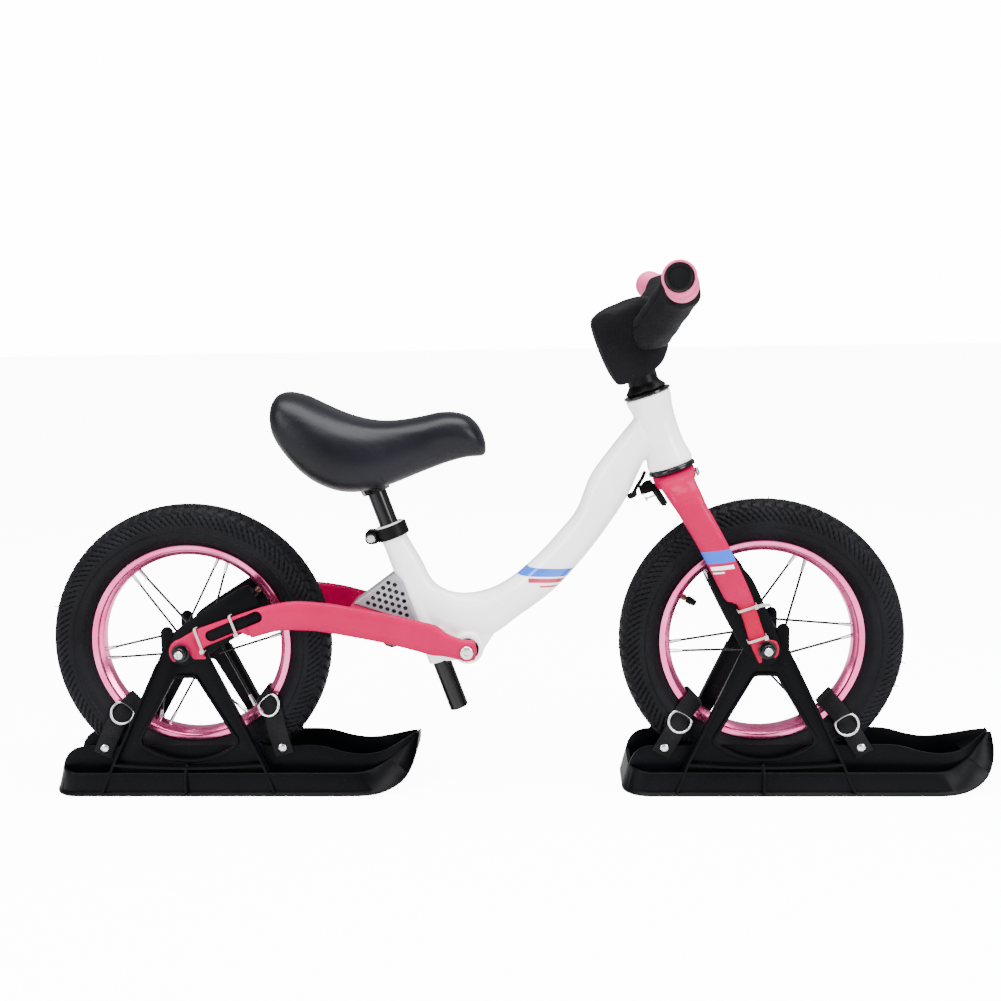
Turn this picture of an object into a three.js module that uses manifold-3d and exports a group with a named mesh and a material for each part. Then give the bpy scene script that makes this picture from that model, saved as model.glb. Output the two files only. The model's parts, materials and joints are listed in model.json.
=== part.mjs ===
// Child's balance bike standing on a pair of strap-on snow skis.
// Millimetres, +Z up, +X is the riding direction, +Y is the rider's left.
// The bike is drawn about the middle of its wheelbase at axle height and then
// set down so that the origin is under the middle of the whole object, on the snow.
import * as THREE from 'three';
import { mergeVertices } from 'three/addons/utils/BufferGeometryUtils.js';
import Module from 'manifold-3d';

const wasm = await Module();
wasm.setup();

// Driving dimensions of the whole object
const wheelbase = 608.6;
const axleHeight = 157;
const skiNose = 243;
const skiTail = 148;
const headAngle = 18.16;
const gap = 0.3;

// Wheel
const tyreRadius = 150;
const tyreHalfWidth = 24;
const rimFlangeRadius = 108;
const rimBedRadius = 96;
const rimHalfWidth = 12.2;
const hubRadius = 13;
const hubFlangeRadius = 21;
const hubFlangeAt = 19;
const hubHalfLength = 30;
const axleRadius = 5;
const spokePairs = 6;
const spokeHalfSpread = 3.2;
const spokeRadius = 1.1;

// Layers beside the wheel, from the hub outwards (distance from the middle plane)
const plateInner = 35.6;
const plateOuter = 39.6;
const leverInner = 39.9;
const leverOuter = 42.9;
const dropoutInner = 43.2;
const dropoutOuter = 48.2;
const axleEnd = 52;

// Ski
const soleAt = -axleHeight;
const skiBaseHalf = 53;
const skiRimHalf = 48;
const skiRimAt = -132;
const skiFloor = 5.5;
const skiWall = 4;

// Strap angles round each wheel, counter-clockwise from straight ahead, degrees
const frontStraps = { aft: 222, fore: 317 };
const rearStraps = { aft: 224, fore: 322 };
const strapWidth = 20;
const strapThickness = 1.8;

// Cable ties
const tieThickness = 1.2;
const tieWidth = 3.6;

// Steering: the crown seat of the fork on the steering axis, and sizes along it
const crownSeat = new THREE.Vector3(210.9, 0, 180.5);
const forkOffset = 32.5;
const forkDrop = 200.6;
const headTubeRadius = 20;
const headTubeLength = 78;
const headTubeStart = 6;
const steererRadius = 12.5;

// Handlebar, given about the steering axis: the middle of its clamp, the inner end of the
// left grip and the left tip
const barClamp = new THREE.Vector3(22, 0, 146);
const gripRoot = new THREE.Vector3(58, 103, 180);
const barTip = new THREE.Vector3(50, 184, 189);
const barRadius = 11;

// Seat: a line through the seat tube
const seatTop = new THREE.Vector3(-85.4, 0, 118);
const seatAngle = 19.4;
const seatTubeRadius = 13.5;
const seatTubeLength = 160;
const postRadius = 10;

// Swingarm pivot
const pivot = new THREE.Vector3(-6, 0, -4.6);

const finishes = {
  whitePaint: { color: 0xf2f2f2, roughness: 0.3, metalness: 0 },
  pinkPaint: { color: 0xf0256a, roughness: 0.28, metalness: 0.1 },
  pinkAnodised: { color: 0xd8306e, roughness: 0.25, metalness: 0.9 },
  blackPlastic: { color: 0x1b1c1f, roughness: 0.5, metalness: 0 },
  blackPaint: { color: 0x121214, roughness: 0.35, metalness: 0.2 },
  rubber: { color: 0x26272a, roughness: 0.8, metalness: 0 },
  pinkRubber: { color: 0xf0407c, roughness: 0.6, metalness: 0 },
  steel: { color: 0xc4c6c9, roughness: 0.3, metalness: 1 },
  silverFoam: { color: 0xa9a7b4, roughness: 0.55, metalness: 0.2 },
  leather: { color: 0x1d2026, roughness: 0.45, metalness: 0 },
  fabric: { color: 0x17181c, roughness: 0.9, metalness: 0 },
  clearPlastic: { color: 0xf4f1e6, roughness: 0.4, metalness: 0 },
};

// Solids and joins

function solid(geometry) {
  const merged = mergeVertices(bareOf(geometry), 1e-3);
  return new wasm.Manifold(new wasm.Mesh({
    numProp: 3,
    vertProperties: new Float32Array(merged.attributes.position.array),
    triVerts: new Uint32Array(merged.index.array),
  }));
}

function fuse(first, ...others) {
  return others.reduce((sum, other) => sum.add(other), first);
}

function cut(first, ...others) {
  return others.reduce((rest, other) => rest.subtract(other), first);
}

function geometryOf(manifold) {
  const mesh = manifold.getMesh();
  const geometry = new THREE.BufferGeometry();
  geometry.setAttribute('position', new THREE.BufferAttribute(mesh.vertProperties, 3));
  geometry.setIndex(new THREE.BufferAttribute(mesh.triVerts, 1));
  geometry.computeVertexNormals();
  return geometry;
}

// A closed body through a row of rings with equal point counts; `flat` gives the
// two coordinates in which the end rings are seen as polygons.
function loft(rings, flat = (p) => [p.y, p.z]) {
  const count = rings[0].length;
  const positions = rings.flat().flatMap((p) => [p.x, p.y, p.z]);
  const indices = [];
  for (let ring = 0; ring < rings.length - 1; ring += 1) {
    for (let k = 0; k < count; k += 1) {
      const a = ring * count + k;
      const b = ring * count + (k + 1) % count;
      indices.push(a, b, b + count, a, b + count, a + count);
    }
  }
  const outline = (ring) => rings[ring].map((p) => new THREE.Vector2(...flat(p)));
  const last = rings.length - 1;
  for (const [ring, flip] of [[0, true], [last, false]]) {
    const contour = outline(ring);
    const reversed = THREE.ShapeUtils.area(contour) < 0;
    for (const [i, j, k] of THREE.ShapeUtils.triangulateShape(contour, [])) {
      const base = ring * count;
      if (flip === reversed) indices.push(base + i, base + j, base + k);
      else indices.push(base + i, base + k, base + j);
    }
  }
  const geometry = new THREE.BufferGeometry();
  geometry.setAttribute('position', new THREE.Float32BufferAttribute(positions, 3));
  geometry.setIndex(indices);
  return signedVolume(geometry) < 0 ? turnedInsideOut(geometry) : geometry;
}

function signedVolume(geometry) {
  const p = geometry.attributes.position;
  const index = geometry.index.array;
  const [a, b, c] = [new THREE.Vector3(), new THREE.Vector3(), new THREE.Vector3()];
  let volume = 0;
  for (let i = 0; i < index.length; i += 3) {
    a.fromBufferAttribute(p, index[i]);
    b.fromBufferAttribute(p, index[i + 1]);
    c.fromBufferAttribute(p, index[i + 2]);
    volume += a.dot(b.cross(c)) / 6;
  }
  return volume;
}

function turnedInsideOut(geometry) {
  const index = geometry.index.array;
  for (let i = 0; i < index.length; i += 3) {
    [index[i + 1], index[i + 2]] = [index[i + 2], index[i + 1]];
  }
  return geometry;
}

function mirroredY(geometry) {
  const copy = geometry.clone();
  const indexed = copy.index ? copy : mergeVertices(copy);
  indexed.scale(1, -1, 1);
  return turnedInsideOut(indexed);
}

// An outline in the X-Z plane, thick from y0 to y1
function plate(shape, y0, y1) {
  const geometry = new THREE.ExtrudeGeometry(shape, { depth: y1 - y0, bevelEnabled: false });
  geometry.rotateX(Math.PI / 2);
  geometry.translate(0, y1, 0);
  return geometry;
}

// A round bar between two points
function bar(from, to, radius, sides = 12, endRadius = radius) {
  const axis = new THREE.Vector3().subVectors(to, from);
  const geometry = new THREE.CylinderGeometry(endRadius, radius, axis.length(), sides);
  geometry.translate(0, axis.length() / 2, 0);
  geometry.applyQuaternion(new THREE.Quaternion().setFromUnitVectors(
    new THREE.Vector3(0, 1, 0),
    axis.clone().normalize(),
  ));
  geometry.translate(from.x, from.y, from.z);
  return geometry;
}

function crossBar(x, z, y0, y1, radius, sides = 16) {
  return bar(new THREE.Vector3(x, y0, z), new THREE.Vector3(x, y1, z), radius, sides);
}

// A body of revolution about the wheel's axis (Y); profile points are [radius, y]
function revolved(profile, segments) {
  const points = profile.map(([radius, y]) => new THREE.Vector2(radius, y));
  const geometry = new THREE.LatheGeometry(points, segments);
  const indexed = mergeVertices(bareOf(geometry), 1e-3);
  return signedVolume(indexed) < 0 ? turnedInsideOut(indexed) : indexed;
}

function bareOf(geometry) {
  const bare = geometry.clone();
  bare.deleteAttribute('normal');
  bare.deleteAttribute('uv');
  return bare;
}

// A flat outline with holes, wound the way that the extrusion expects
function shapeOf(points, ...holes) {
  const contour = points.map(([x, z]) => new THREE.Vector2(x, z));
  if (THREE.ShapeUtils.isClockWise(contour)) contour.reverse();
  const shape = new THREE.Shape(contour);
  for (const hole of holes) {
    shape.holes.push(new THREE.Path(hole.map(([x, z]) => new THREE.Vector2(x, z))));
  }
  return shape;
}

function circle(cx, cz, radius, steps) {
  return arc(cx, cz, radius, 0, 360, steps).slice(0, -1);
}

// A smooth closed or open run of points through a few given ones
function smooth(points, count) {
  const curve = new THREE.SplineCurve(points.map(([x, z]) => new THREE.Vector2(x, z)));
  return curve.getSpacedPoints(count - 1);
}

function polar(radius, degrees) {
  const angle = THREE.MathUtils.degToRad(degrees);
  return [radius * Math.cos(angle), radius * Math.sin(angle)];
}

function arc(cx, cz, radius, fromDegrees, toDegrees, steps) {
  return Array.from({ length: steps + 1 }, (_, k) => {
    const [x, z] = polar(radius, fromDegrees + (toDegrees - fromDegrees) * k / steps);
    return [cx + x, cz + z];
  });
}

// A member seen from the side between two edge curves, with a rounded section:
// `halfWidth(t)` across the bike and `centre(t)` for its distance from the middle.
function member(edgeA, edgeB, steps, sides, halfWidth, centre = () => 0, power = 2.6) {
  const a = smooth(edgeA, steps);
  const b = smooth(edgeB, steps);
  const rings = a.map((pa, k) => {
    const t = k / (steps - 1);
    const pb = b[k];
    const mid = new THREE.Vector2().addVectors(pa, pb).multiplyScalar(0.5);
    const half = new THREE.Vector2().subVectors(pb, pa).multiplyScalar(0.5);
    return Array.from({ length: sides }, (_, s) => {
      const angle = (s + 0.5) * 2 * Math.PI / sides;
      const c = Math.cos(angle);
      const sn = Math.sin(angle);
      const u = Math.sign(c) * Math.abs(c) ** (2 / power);
      const v = Math.sign(sn) * Math.abs(sn) ** (2 / power);
      return new THREE.Vector3(mid.x + half.x * u, centre(t) + halfWidth(t) * v, mid.y + half.y * u);
    });
  });
  return loft(rings, (p) => [p.x + p.z * 0.37, p.y + p.z * 0.11]);
}

// The object tree

const object = new THREE.Group();
const bike = new THREE.Group();
bike.position.set((tyreRadius - skiNose) / 2, 0, axleHeight);
object.add(bike);

const steered = new THREE.Group();
steered.position.copy(crownSeat);
steered.rotation.y = -THREE.MathUtils.degToRad(headAngle);
bike.add(steered);

function add(parent, name, shape, finish) {
  const geometry = shape.isBufferGeometry ? shape : geometryOf(shape);
  const mesh = new THREE.Mesh(geometry, new THREE.MeshStandardMaterial(finishes[finish]));
  mesh.name = name;
  parent.add(mesh);
  return mesh;
}

// Wheels

function tyre() {
  const half = tyreHalfWidth;
  const outside = [[105.5, 8], [109, 10.8], [128, half], [142, 19.5], [tyreRadius, 7]];
  const inside = [[144, 8], [130, 20], [105.5, 5.5]];
  return revolved(closedProfile([...outside, ...mirror(outside), ...mirror(inside), ...inside]), 28);
}

// The inner tube with its valve, which comes out through the rim towards the hub
function innerTube(valveAt) {
  const points = Array.from({ length: 7 }, (_, k) => {
    const [r, y] = polar(1, k * 60 + 30);
    return [126 + 13.5 * r, 13 * y];
  });
  const at = (r) => new THREE.Vector3(polar(r, valveAt)[0], 0, polar(r, valveAt)[1]);
  const stem = bar(at(118), at(84), 3, 8);
  const cap = bar(at(87), at(70), 4.2, 8, 3.4);
  return fuse(solid(revolved(points, 14)), solid(stem), solid(cap));
}

// The rim with the twelve nipples that stand in its bed
function rim(phase, valveAt) {
  const w = rimHalfWidth;
  const side = [[rimFlangeRadius, w], [rimFlangeRadius - 6.5, w - 0.4], [rimBedRadius, w - 5]];
  const well = [[100, 5], [rimFlangeRadius, w - 1.8]];
  const hoop = revolved(closedProfile([...side, ...mirror(side), ...mirror(well), ...well]), 28);
  const nipples = spokeAngles(phase).map((spoke) => {
    const [from, to] = spokeLine(spoke, 0.87, 1.02);
    return bar(from, to, 2.2, 4, 2.6);
  });
  const at = (r) => new THREE.Vector3(polar(r, valveAt)[0], 0, polar(r, valveAt)[1]);
  return cut(fuse(...[hoop, ...nipples].map(solid)), solid(bar(at(80), at(110), 3 + gap, 8)));
}

// The hub shell with the twelve spokes hooked into its flanges
function hub(phase) {
  const flange = hubFlangeAt;
  const half = [
    [hubRadius, flange - 3], [hubFlangeRadius, flange - 1.5], [hubFlangeRadius, flange + 1.5],
    [14, hubHalfLength], [11.4, hubHalfLength], [11.4, hubHalfLength - 8], [8, hubHalfLength - 8],
  ];
  const shell = revolved(closedProfile([...half, ...mirror(half)]), 12);
  const spokes = spokeAngles(phase).map((spoke) => {
    const [from, to] = spokeLine(spoke, 0, 0.865);
    return bar(from, to, spokeRadius, 4);
  });
  return fuse(...[shell, ...spokes].map(solid));
}

function hubBearing(side) {
  const y = side * (hubHalfLength - 4);
  return revolved(closedProfile([
    [10.9, y - 3.4], [10.9, y + 3.4], [axleRadius + 0.4, y + 3.4], [axleRadius + 0.6, y - 3.4],
  ]), 8);
}

// Profile points of the other side, in the order that carries the outline on
function mirror(points) {
  return points.map(([r, y]) => [r, -y]).reverse();
}

function closedProfile(points) {
  return [...points, points[0]];
}

function spokeAngles(phase) {
  return Array.from({ length: 2 * spokePairs }, (_, k) => {
    const sideSign = k % 2 === 0 ? 1 : -1;
    return { angle: phase + Math.floor(k / 2) * 360 / spokePairs + sideSign * spokeHalfSpread, sideSign };
  });
}

// Where a spoke leaves the hub flange and where it meets the rim bed
function spokeLine({ angle, sideSign }, start, end) {
  const lead = 62;
  const [hx, hz] = polar(hubFlangeRadius - 3, angle + sideSign * lead);
  const [rx, rz] = polar(rimBedRadius + 0.5, angle);
  const from = new THREE.Vector3(hx, sideSign * (hubFlangeAt + 1.2), hz);
  const to = new THREE.Vector3(rx, sideSign * 1.5, rz);
  return [from.clone().lerp(to, start), from.clone().lerp(to, end)];
}

function axle() {
  const spindle = solid(crossBar(0, 0, -axleEnd, axleEnd, axleRadius, 8));
  const collar = (s) => solid(crossBar(0, 0, s * (hubHalfLength + 0.5), s * plateOuter, 9.6, 8));
  return fuse(spindle, collar(1), collar(-1));
}

// A domed nut with its washer; `seat` is the face that the washer lies on
function axleNut(side, seat) {
  const at = (y) => new THREE.Vector3(0, side * (seat + y), 0);
  const washer = bar(at(gap), at(1.8), 9.5, 10);
  const hex = bar(at(1.7), at(6.5), 7.6, 6);
  const dome = bar(at(6.4), at(9.5), 6.2, 8, 3.6);
  const bore = bar(at(-5), at(axleEnd + gap - seat), axleRadius + 0.7, 8);
  return cut(fuse(...[washer, hex, dome].map(solid)), solid(bore));
}

function addWheel(parent, prefix, phase, valveAt, nutSeat) {
  add(parent, `${prefix}_tyre`, tyre(), 'rubber');
  add(parent, `${prefix}_inner_tube`, innerTube(valveAt), 'rubber');
  add(parent, `${prefix}_rim`, rim(phase, valveAt), 'pinkAnodised');
  add(parent, `${prefix}_hub`, hub(phase), 'blackPaint');
  add(parent, `${prefix}_hub_bearing_right`, hubBearing(-1), 'steel');
  add(parent, `${prefix}_hub_bearing_left`, hubBearing(1), 'steel');
  add(parent, `${prefix}_axle`, axle(), 'steel');
  add(parent, `${prefix}_axle_nut_right`, axleNut(-1, nutSeat), 'steel');
  add(parent, `${prefix}_axle_nut_left`, axleNut(1, nutSeat), 'steel');
}

// Ski, drawn about the axle

// One cross ring of the hull: base edge [x, half width, z] and rim edge [x, half width, z]
function hullRing([bx, bw, bz], [rx, rw, rz]) {
  const side = [
    [rx, rw, rz], [bx, bw - 4.5, bz + 4.2], [bx, bw, bz + 3], [bx, bw - 3, bz],
  ];
  const point = ([x, y, z]) => new THREE.Vector3(x, y, z);
  return [...side.map(([x, y, z]) => point([x, -y, z])), ...[...side].reverse().map(point)];
}

function hullStations() {
  const corner = 28;
  const tail = [0, 0.15, 0.45, 1].map((f) => {
    const inset = corner * (1 - f);
    const narrowed = corner - Math.sqrt(corner ** 2 - inset ** 2);
    const lean = 6 * (1 - f);
    const x = -skiTail + corner * f;
    return [[x, skiBaseHalf - narrowed, soleAt], [x + lean, skiRimHalf - narrowed, skiRimAt + 3 * (1 - f)]];
  });
  const nose = [
    [[150, skiBaseHalf, soleAt], [150, skiRimHalf, skiRimAt]],
    [[190, 52.5, soleAt + 0.5], [184, 46, skiRimAt]],
    [[211, 49.5, soleAt + 4.5], [200, 37, -129]],
    [[228, 43, -143.5], [217, 24, -122]],
    [[237, 35.5, -131], [229, 13, -113]],
    [[241.5, 25, -117.5], [237, 7, -105.5]],
    [[skiNose, 12, -106], [241, 4, -101]],
  ];
  return [...tail, ...nose];
}

function hull() {
  const stations = hullStations();
  const outer = solid(loft(stations.map(([base, rimEdge]) => hullRing(base, rimEdge))));
  const inner = stations.slice(0, -2).map(([[bx, bw, bz], [rx, rw, rz]], k) => {
    const forward = k < 3 ? skiWall + 1 : 0;
    const back = k > 4 ? 3.5 : 0;
    const low = [bx + forward - back, Math.max(bw - skiWall - 6, 2), bz + skiFloor];
    const high = [rx + forward - back, Math.max(rw - skiWall, 1.2), rz];
    const above = [high[0] + (high[0] - low[0]) * 0.4, high[1], rz + 12];
    const side = [above, high, low];
    const point = ([x, y, z]) => new THREE.Vector3(x, y, z);
    return [...side.map(([x, y, z]) => point([x, -y, z])), ...[...side].reverse().map(point)];
  });
  return cut(outer, solid(loft(inner)));
}

function framePlateOutline() {
  const topRadius = 6.5;
  const prong = 17.5;
  const slot = prong - topRadius;
  const foot = soleAt + skiFloor - 1;
  const right = [
    [0, foot], [94, foot], [91, -145], [82, -124], [67, -93], [47, -50], [24, -2],
    ...arc(prong, 29, topRadius, 0, 180, 4),
    [slot, 4],
  ];
  const lower = arc(0, 0, slot, -10, -70, 2);
  const half = [...right, ...lower];
  const mirrored = [...half].reverse().map(([x, z]) => [-x, z]);
  return shapeOf([...half, [0, -slot], ...mirrored.slice(0, -1)], windowOutline(0));
}

// The open window of the side frame, moved outwards by `grow`
function windowOutline(grow) {
  const top = -30 + grow;
  const half = [
    ...arc(8, top - 6, 6, 90, 30, 1),
    ...arc(42 + grow, -99, 8, 25, -70, 2),
    [22, -117 - grow],
  ];
  return [...half, [0, -119.5 - grow], ...[...half].reverse().map(([x, z]) => [-x, z])];
}

function windowLip() {
  return plate(shapeOf(windowOutline(4), windowOutline(0)), plateOuter - 0.5, plateOuter + 1.8);
}

// Ribs along the legs that stand out from the plate and run down over the hull
function legRib(side) {
  const stations = [[30, -14, 42.4], [47.5, -51, 44.5], [82, -124, 47.5], [94.5, -154.5, 52.6]];
  return loft(stations.map(([x, z, out]) => [
    new THREE.Vector3(side * x, plateOuter - 1, z),
    new THREE.Vector3(side * (x - 3), plateOuter - 1, z),
    new THREE.Vector3(side * (x - 3), out, z),
    new THREE.Vector3(side * x, out, z),
  ]), (p) => [p.x, p.y]);
}

function middleRib() {
  const rings = [[-124, 41], [-154.5, 52.4]].map(([z, out]) => [
    new THREE.Vector3(-3.5, plateOuter - 1, z),
    new THREE.Vector3(-0.5, plateOuter - 1, z),
    new THREE.Vector3(-0.5, out, z),
    new THREE.Vector3(-3.5, out, z),
  ]);
  return loft(rings, (p) => [p.x, p.y]);
}

function shelf() {
  const upper = smooth([[-81, -122], [-40, -124.5], [0, -125.5], [40, -124.5], [81, -122]], 5);
  const points = [
    ...upper.map((p) => [p.x, p.y]),
    ...[...upper].reverse().map((p) => [p.x, p.y - 3]),
  ];
  return plate(shapeOf(points), plateOuter - 1, 47.6);
}

// Low walls that keep the tyre in the middle of the ski
function cradleWall() {
  const foot = soleAt + skiFloor - 1;
  const points = [
    [-143, foot], [178, foot], [174, -132], [163, -114], [146, -108], [-116, -108],
    [-131, -112], [-140, -124],
  ];
  return plate(shapeOf(points), 27, 30.4);
}

function ski() {
  const parts = [plate(framePlateOutline(), plateInner, plateOuter), windowLip(), legRib(1), legRib(-1),
    middleRib(), shelf(), cradleWall()];
  const left = parts.map(solid);
  const right = parts.map((part) => solid(mirroredY(part)));
  return fuse(hull(), ...left, ...right);
}

// Long plate that stops a ski from turning. It reaches from the axle along `degrees`
// and is tied to the fork leg or to the swingarm by ties through slots in the plate.
// Points are [distance along the plate, distance across it].
const leverOutline = [
  [-9, -13], [10, -16], [64, -17], [80.5, -14.7], [91, -9.9], [96.8, 2], [96.8, 13.7],
  [92.5, 24.3], [17, 23.5], [-1, 18], [-15, 8], [-16.5, -3],
];

function leverPlate(degrees, side, ties) {
  const turned = leverOutline.map(([u, v]) => {
    const [ux, uz] = polar(u, degrees);
    const [vx, vz] = polar(v, degrees + 90);
    return [ux + vx, uz + vz];
  });
  const shape = shapeOf(turned, circle(0, 0, axleRadius + 0.7, 8));
  const flat = solid(plate(shape, leverInner, leverOuter));
  const grooved = cut(flat, ...ties.map((place) => solid(tieBand(place, gap, 1))));
  return side > 0 ? grooved : mirroredY(geometryOf(grooved));
}

// A tie round a leg and the lever plate behind it: centre [x, z], direction of the leg in
// degrees, half the leg's height, and the leg's outer face. Its inner run lies in a groove in
// the back of the plate. The groove is the tie widened by `grow` and deepened by `back`.
function tieBand({ at, degrees, half, face }, grow = 0, back = 0) {
  const wall = tieThickness + grow;
  const inner = leverInner + tieThickness + 0.4;
  const outside = [half + wall, inner - wall - back, face + wall];
  const inside = [half - grow, inner + grow, face];
  const [outline, opening] = [outside, inside].map(([x, low, high]) => [
    [-x, low], [x, low], [x, high], [-x, high],
  ]);
  const band = new THREE.ExtrudeGeometry(shapeOf(outline, opening), {
    depth: tieWidth + 2 * grow,
    bevelEnabled: false,
  });
  band.translate(0, 0, -tieWidth / 2 - grow);
  band.rotateY(THREE.MathUtils.degToRad(90 - degrees));
  band.translate(at[0], 0, at[1]);
  return band;
}

function tie(place, side) {
  const band = solid(tieBand(place));
  const head = new THREE.BoxGeometry(4.6, 4, 5.4);
  head.translate(place.half - 1, place.face + tieThickness + 1.8, 0);
  head.rotateY(THREE.MathUtils.degToRad(90 - place.degrees));
  head.translate(place.at[0], 0, place.at[1]);
  const joined = geometryOf(fuse(band, solid(head)));
  return side > 0 ? joined : mirroredY(joined);
}

// A strap loops over the rim between two spokes and comes down on both sides to the
// cradle walls, with a ring and a stud on each side. Its route is [radius, distance from
// the middle], and `end` is the radius at which it reaches the wall.
function strap(degrees) {
  const end = 119 / Math.abs(Math.sin(THREE.MathUtils.degToRad(degrees)));
  const side = [
    [rimBedRadius - 2.6, 0], [rimBedRadius - 2.6, 8], [99, 15], [112, 20.5], [124, 27], [143, 32.2],
    [end, 32.2],
  ];
  const path = [...mirror(side).slice(0, -1), ...side];
  const [ux, uz] = polar(1, degrees);
  const rings = path.map(([r, y], k) => {
    const before = path[Math.max(k - 1, 0)];
    const after = path[Math.min(k + 1, path.length - 1)];
    const along = new THREE.Vector2(after[0] - before[0], after[1] - before[1]).normalize();
    const normal = new THREE.Vector2(along.y, -along.x).multiplyScalar(strapThickness / 2);
    const at = (sr, sy, width) => new THREE.Vector3(
      ux * (r + sr) - uz * width,
      y + sy,
      uz * (r + sr) + ux * width,
    );
    const half = strapWidth / 2;
    return [
      at(normal.x, normal.y, half), at(normal.x, normal.y, -half),
      at(-normal.x, -normal.y, -half), at(-normal.x, -normal.y, half),
    ];
  });
  const webbing = loft(rings, (p) => [p.x * uz - p.z * ux, p.y + (p.x * ux + p.z * uz)]);
  const radial = new THREE.Vector3(ux, 0, uz);
  const across = new THREE.Vector3(-uz, 0, ux);
  const onStrap = (geometry, r, y, lean, sign) => {
    const angle = THREE.MathUtils.degToRad(lean);
    const along = radial.clone().multiplyScalar(Math.cos(angle)).setY(sign * Math.sin(angle));
    const out = new THREE.Vector3().crossVectors(across, along);
    if (out.y * sign < 0) out.negate();
    const basis = new THREE.Matrix4().makeBasis(new THREE.Vector3().crossVectors(along, out), along, out);
    geometry.applyMatrix4(basis);
    geometry.translate(ux * r, sign * y, uz * r);
    return geometry;
  };
  const fittings = [1, -1].flatMap((sign) => [
    onStrap(new THREE.TorusGeometry(12, 1.6, 4, 8), 122, 29.5, 6, sign),
    onStrap(new THREE.CylinderGeometry(3.4, 3.4, 2.4, 6).rotateX(Math.PI / 2), end - 14, 33.4, 0, sign),
  ]);
  return fuse(...[webbing, ...fittings].map(solid));
}

function addSki(parent, prefix, angles, lever, ties) {
  add(parent, `${prefix}_ski`, ski(), 'blackPlastic');
  add(parent, `${prefix}_lever_plate_right`, leverPlate(lever, -1, ties), 'blackPlastic');
  add(parent, `${prefix}_lever_plate_left`, leverPlate(lever, 1, ties), 'blackPlastic');
  add(parent, `${prefix}_strap_fore`, strap(angles.fore), 'fabric');
  add(parent, `${prefix}_strap_aft`, strap(angles.aft), 'fabric');
  ties.forEach((place, k) => {
    add(parent, `${prefix}_tie_${k + 1}_right`, tie(place, -1), 'clearPlastic');
    add(parent, `${prefix}_tie_${k + 1}_left`, tie(place, 1), 'clearPlastic');
  });
}

// A place on the fork, given about the steering axis, seen from the front axle
function forkPlace(x, z) {
  const angle = THREE.MathUtils.degToRad(headAngle);
  const dx = x - forkOffset;
  const dz = z + forkDrop;
  return [dx * Math.cos(angle) - dz * Math.sin(angle), dx * Math.sin(angle) + dz * Math.cos(angle)];
}

const frontWheel = new THREE.Group();
frontWheel.position.set(wheelbase / 2, 0, 0);
bike.add(frontWheel);
const rearWheel = new THREE.Group();
rearWheel.position.set(-wheelbase / 2, 0, 0);
bike.add(rearWheel);

addWheel(frontWheel, 'front', 5, 151, dropoutOuter);
addWheel(rearWheel, 'rear', 8, 38, dropoutOuter + 3);
addSki(frontWheel, 'front', frontStraps, 90 + headAngle + 6.5, [
  { at: forkPlace(26, -152), degrees: 90 + headAngle, half: 9.6, face: 53.4 },
  { at: forkPlace(26, -186), degrees: 90 + headAngle, half: 9.6, face: 53.4 },
]);
addSki(rearWheel, 'rear', rearStraps, 31, [
  { at: [19.5, 13.2], degrees: 18, half: 12.8, face: 51.6 },
  { at: [56.5, 28.7], degrees: 20, half: 10.8, face: 51.6 },
]);

// Main frame: one hollow moulding from the head tube down to the pivot and up to the seat

function seatPoint(distance) {
  const angle = THREE.MathUtils.degToRad(seatAngle);
  return new THREE.Vector3(Math.sin(angle), 0, -Math.cos(angle)).multiplyScalar(distance).add(seatTop);
}

function headPoint(distance) {
  const angle = THREE.MathUtils.degToRad(headAngle);
  return new THREE.Vector3(-Math.sin(angle), 0, Math.cos(angle)).multiplyScalar(distance).add(crownSeat);
}

function mainFrame() {
  const outerEdge = [
    [190, 206], [178, 186], [162, 152], [135, 112], [109, 80], [82, 52], [44, 24], [22, 8], [-6, 1],
    [-34, 6], [-58, 24], [-72, 44], [-84, 74], [-95, 106],
  ];
  const innerEdge = [
    [172, 237], [146, 205], [125, 176], [111, 141], [93, 118], [70, 93], [42, 69], [16, 55],
    [-12, 51], [-32, 56], [-45, 67], [-54, 86], [-62, 100], [-70, 114.5],
  ];
  const width = (t) => THREE.MathUtils.lerp(
    20 + 2.5 * Math.sin(Math.PI * t),
    seatTubeRadius - 0.2,
    THREE.MathUtils.smoothstep(t, 0.62, 0.79),
  );
  const body = solid(member(outerEdge, innerEdge, 14, 10, width));
  const headEnd = headTubeStart + headTubeLength;
  const head = solid(bar(headPoint(headTubeStart), headPoint(headEnd), headTubeRadius, 16));
  const headBore = solid(bar(headPoint(-10), headPoint(120), 15.6, 14));
  const seatTube = solid(bar(seatPoint(0), seatPoint(seatTubeLength), seatTubeRadius, 14));
  const seatBore = solid(bar(seatPoint(-40), seatPoint(seatTubeLength + 20), postRadius + 0.6, 14));
  const lug = solid(crossBar(pivot.x, pivot.z, -22, 22, 17, 14));
  const pivotBore = solid(crossBar(pivot.x, pivot.z, -40, 40, 6.7, 8));
  const web = solid(plate(shapeOf([[-44, 16], [-30, -20], [4, -18], [26, 16]]), -15, 15));
  return cut(fuse(body, head, seatTube, lug, web), headBore, seatBore, pivotBore);
}

// A headset cup with its bearing race, pressed into one end of the head tube
function headCup(from, thickness, flangeRadius, direction) {
  const rimPoint = headPoint(from + direction * thickness);
  const flange = solid(bar(headPoint(from), rimPoint, flangeRadius, 14, flangeRadius - 1.5));
  const insert = solid(bar(headPoint(from + direction), headPoint(from - direction * 11), 15.2, 10));
  const bore = solid(bar(headPoint(-20), headPoint(140), steererRadius + 1.2, 8));
  return cut(fuse(flange, insert), bore);
}

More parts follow.
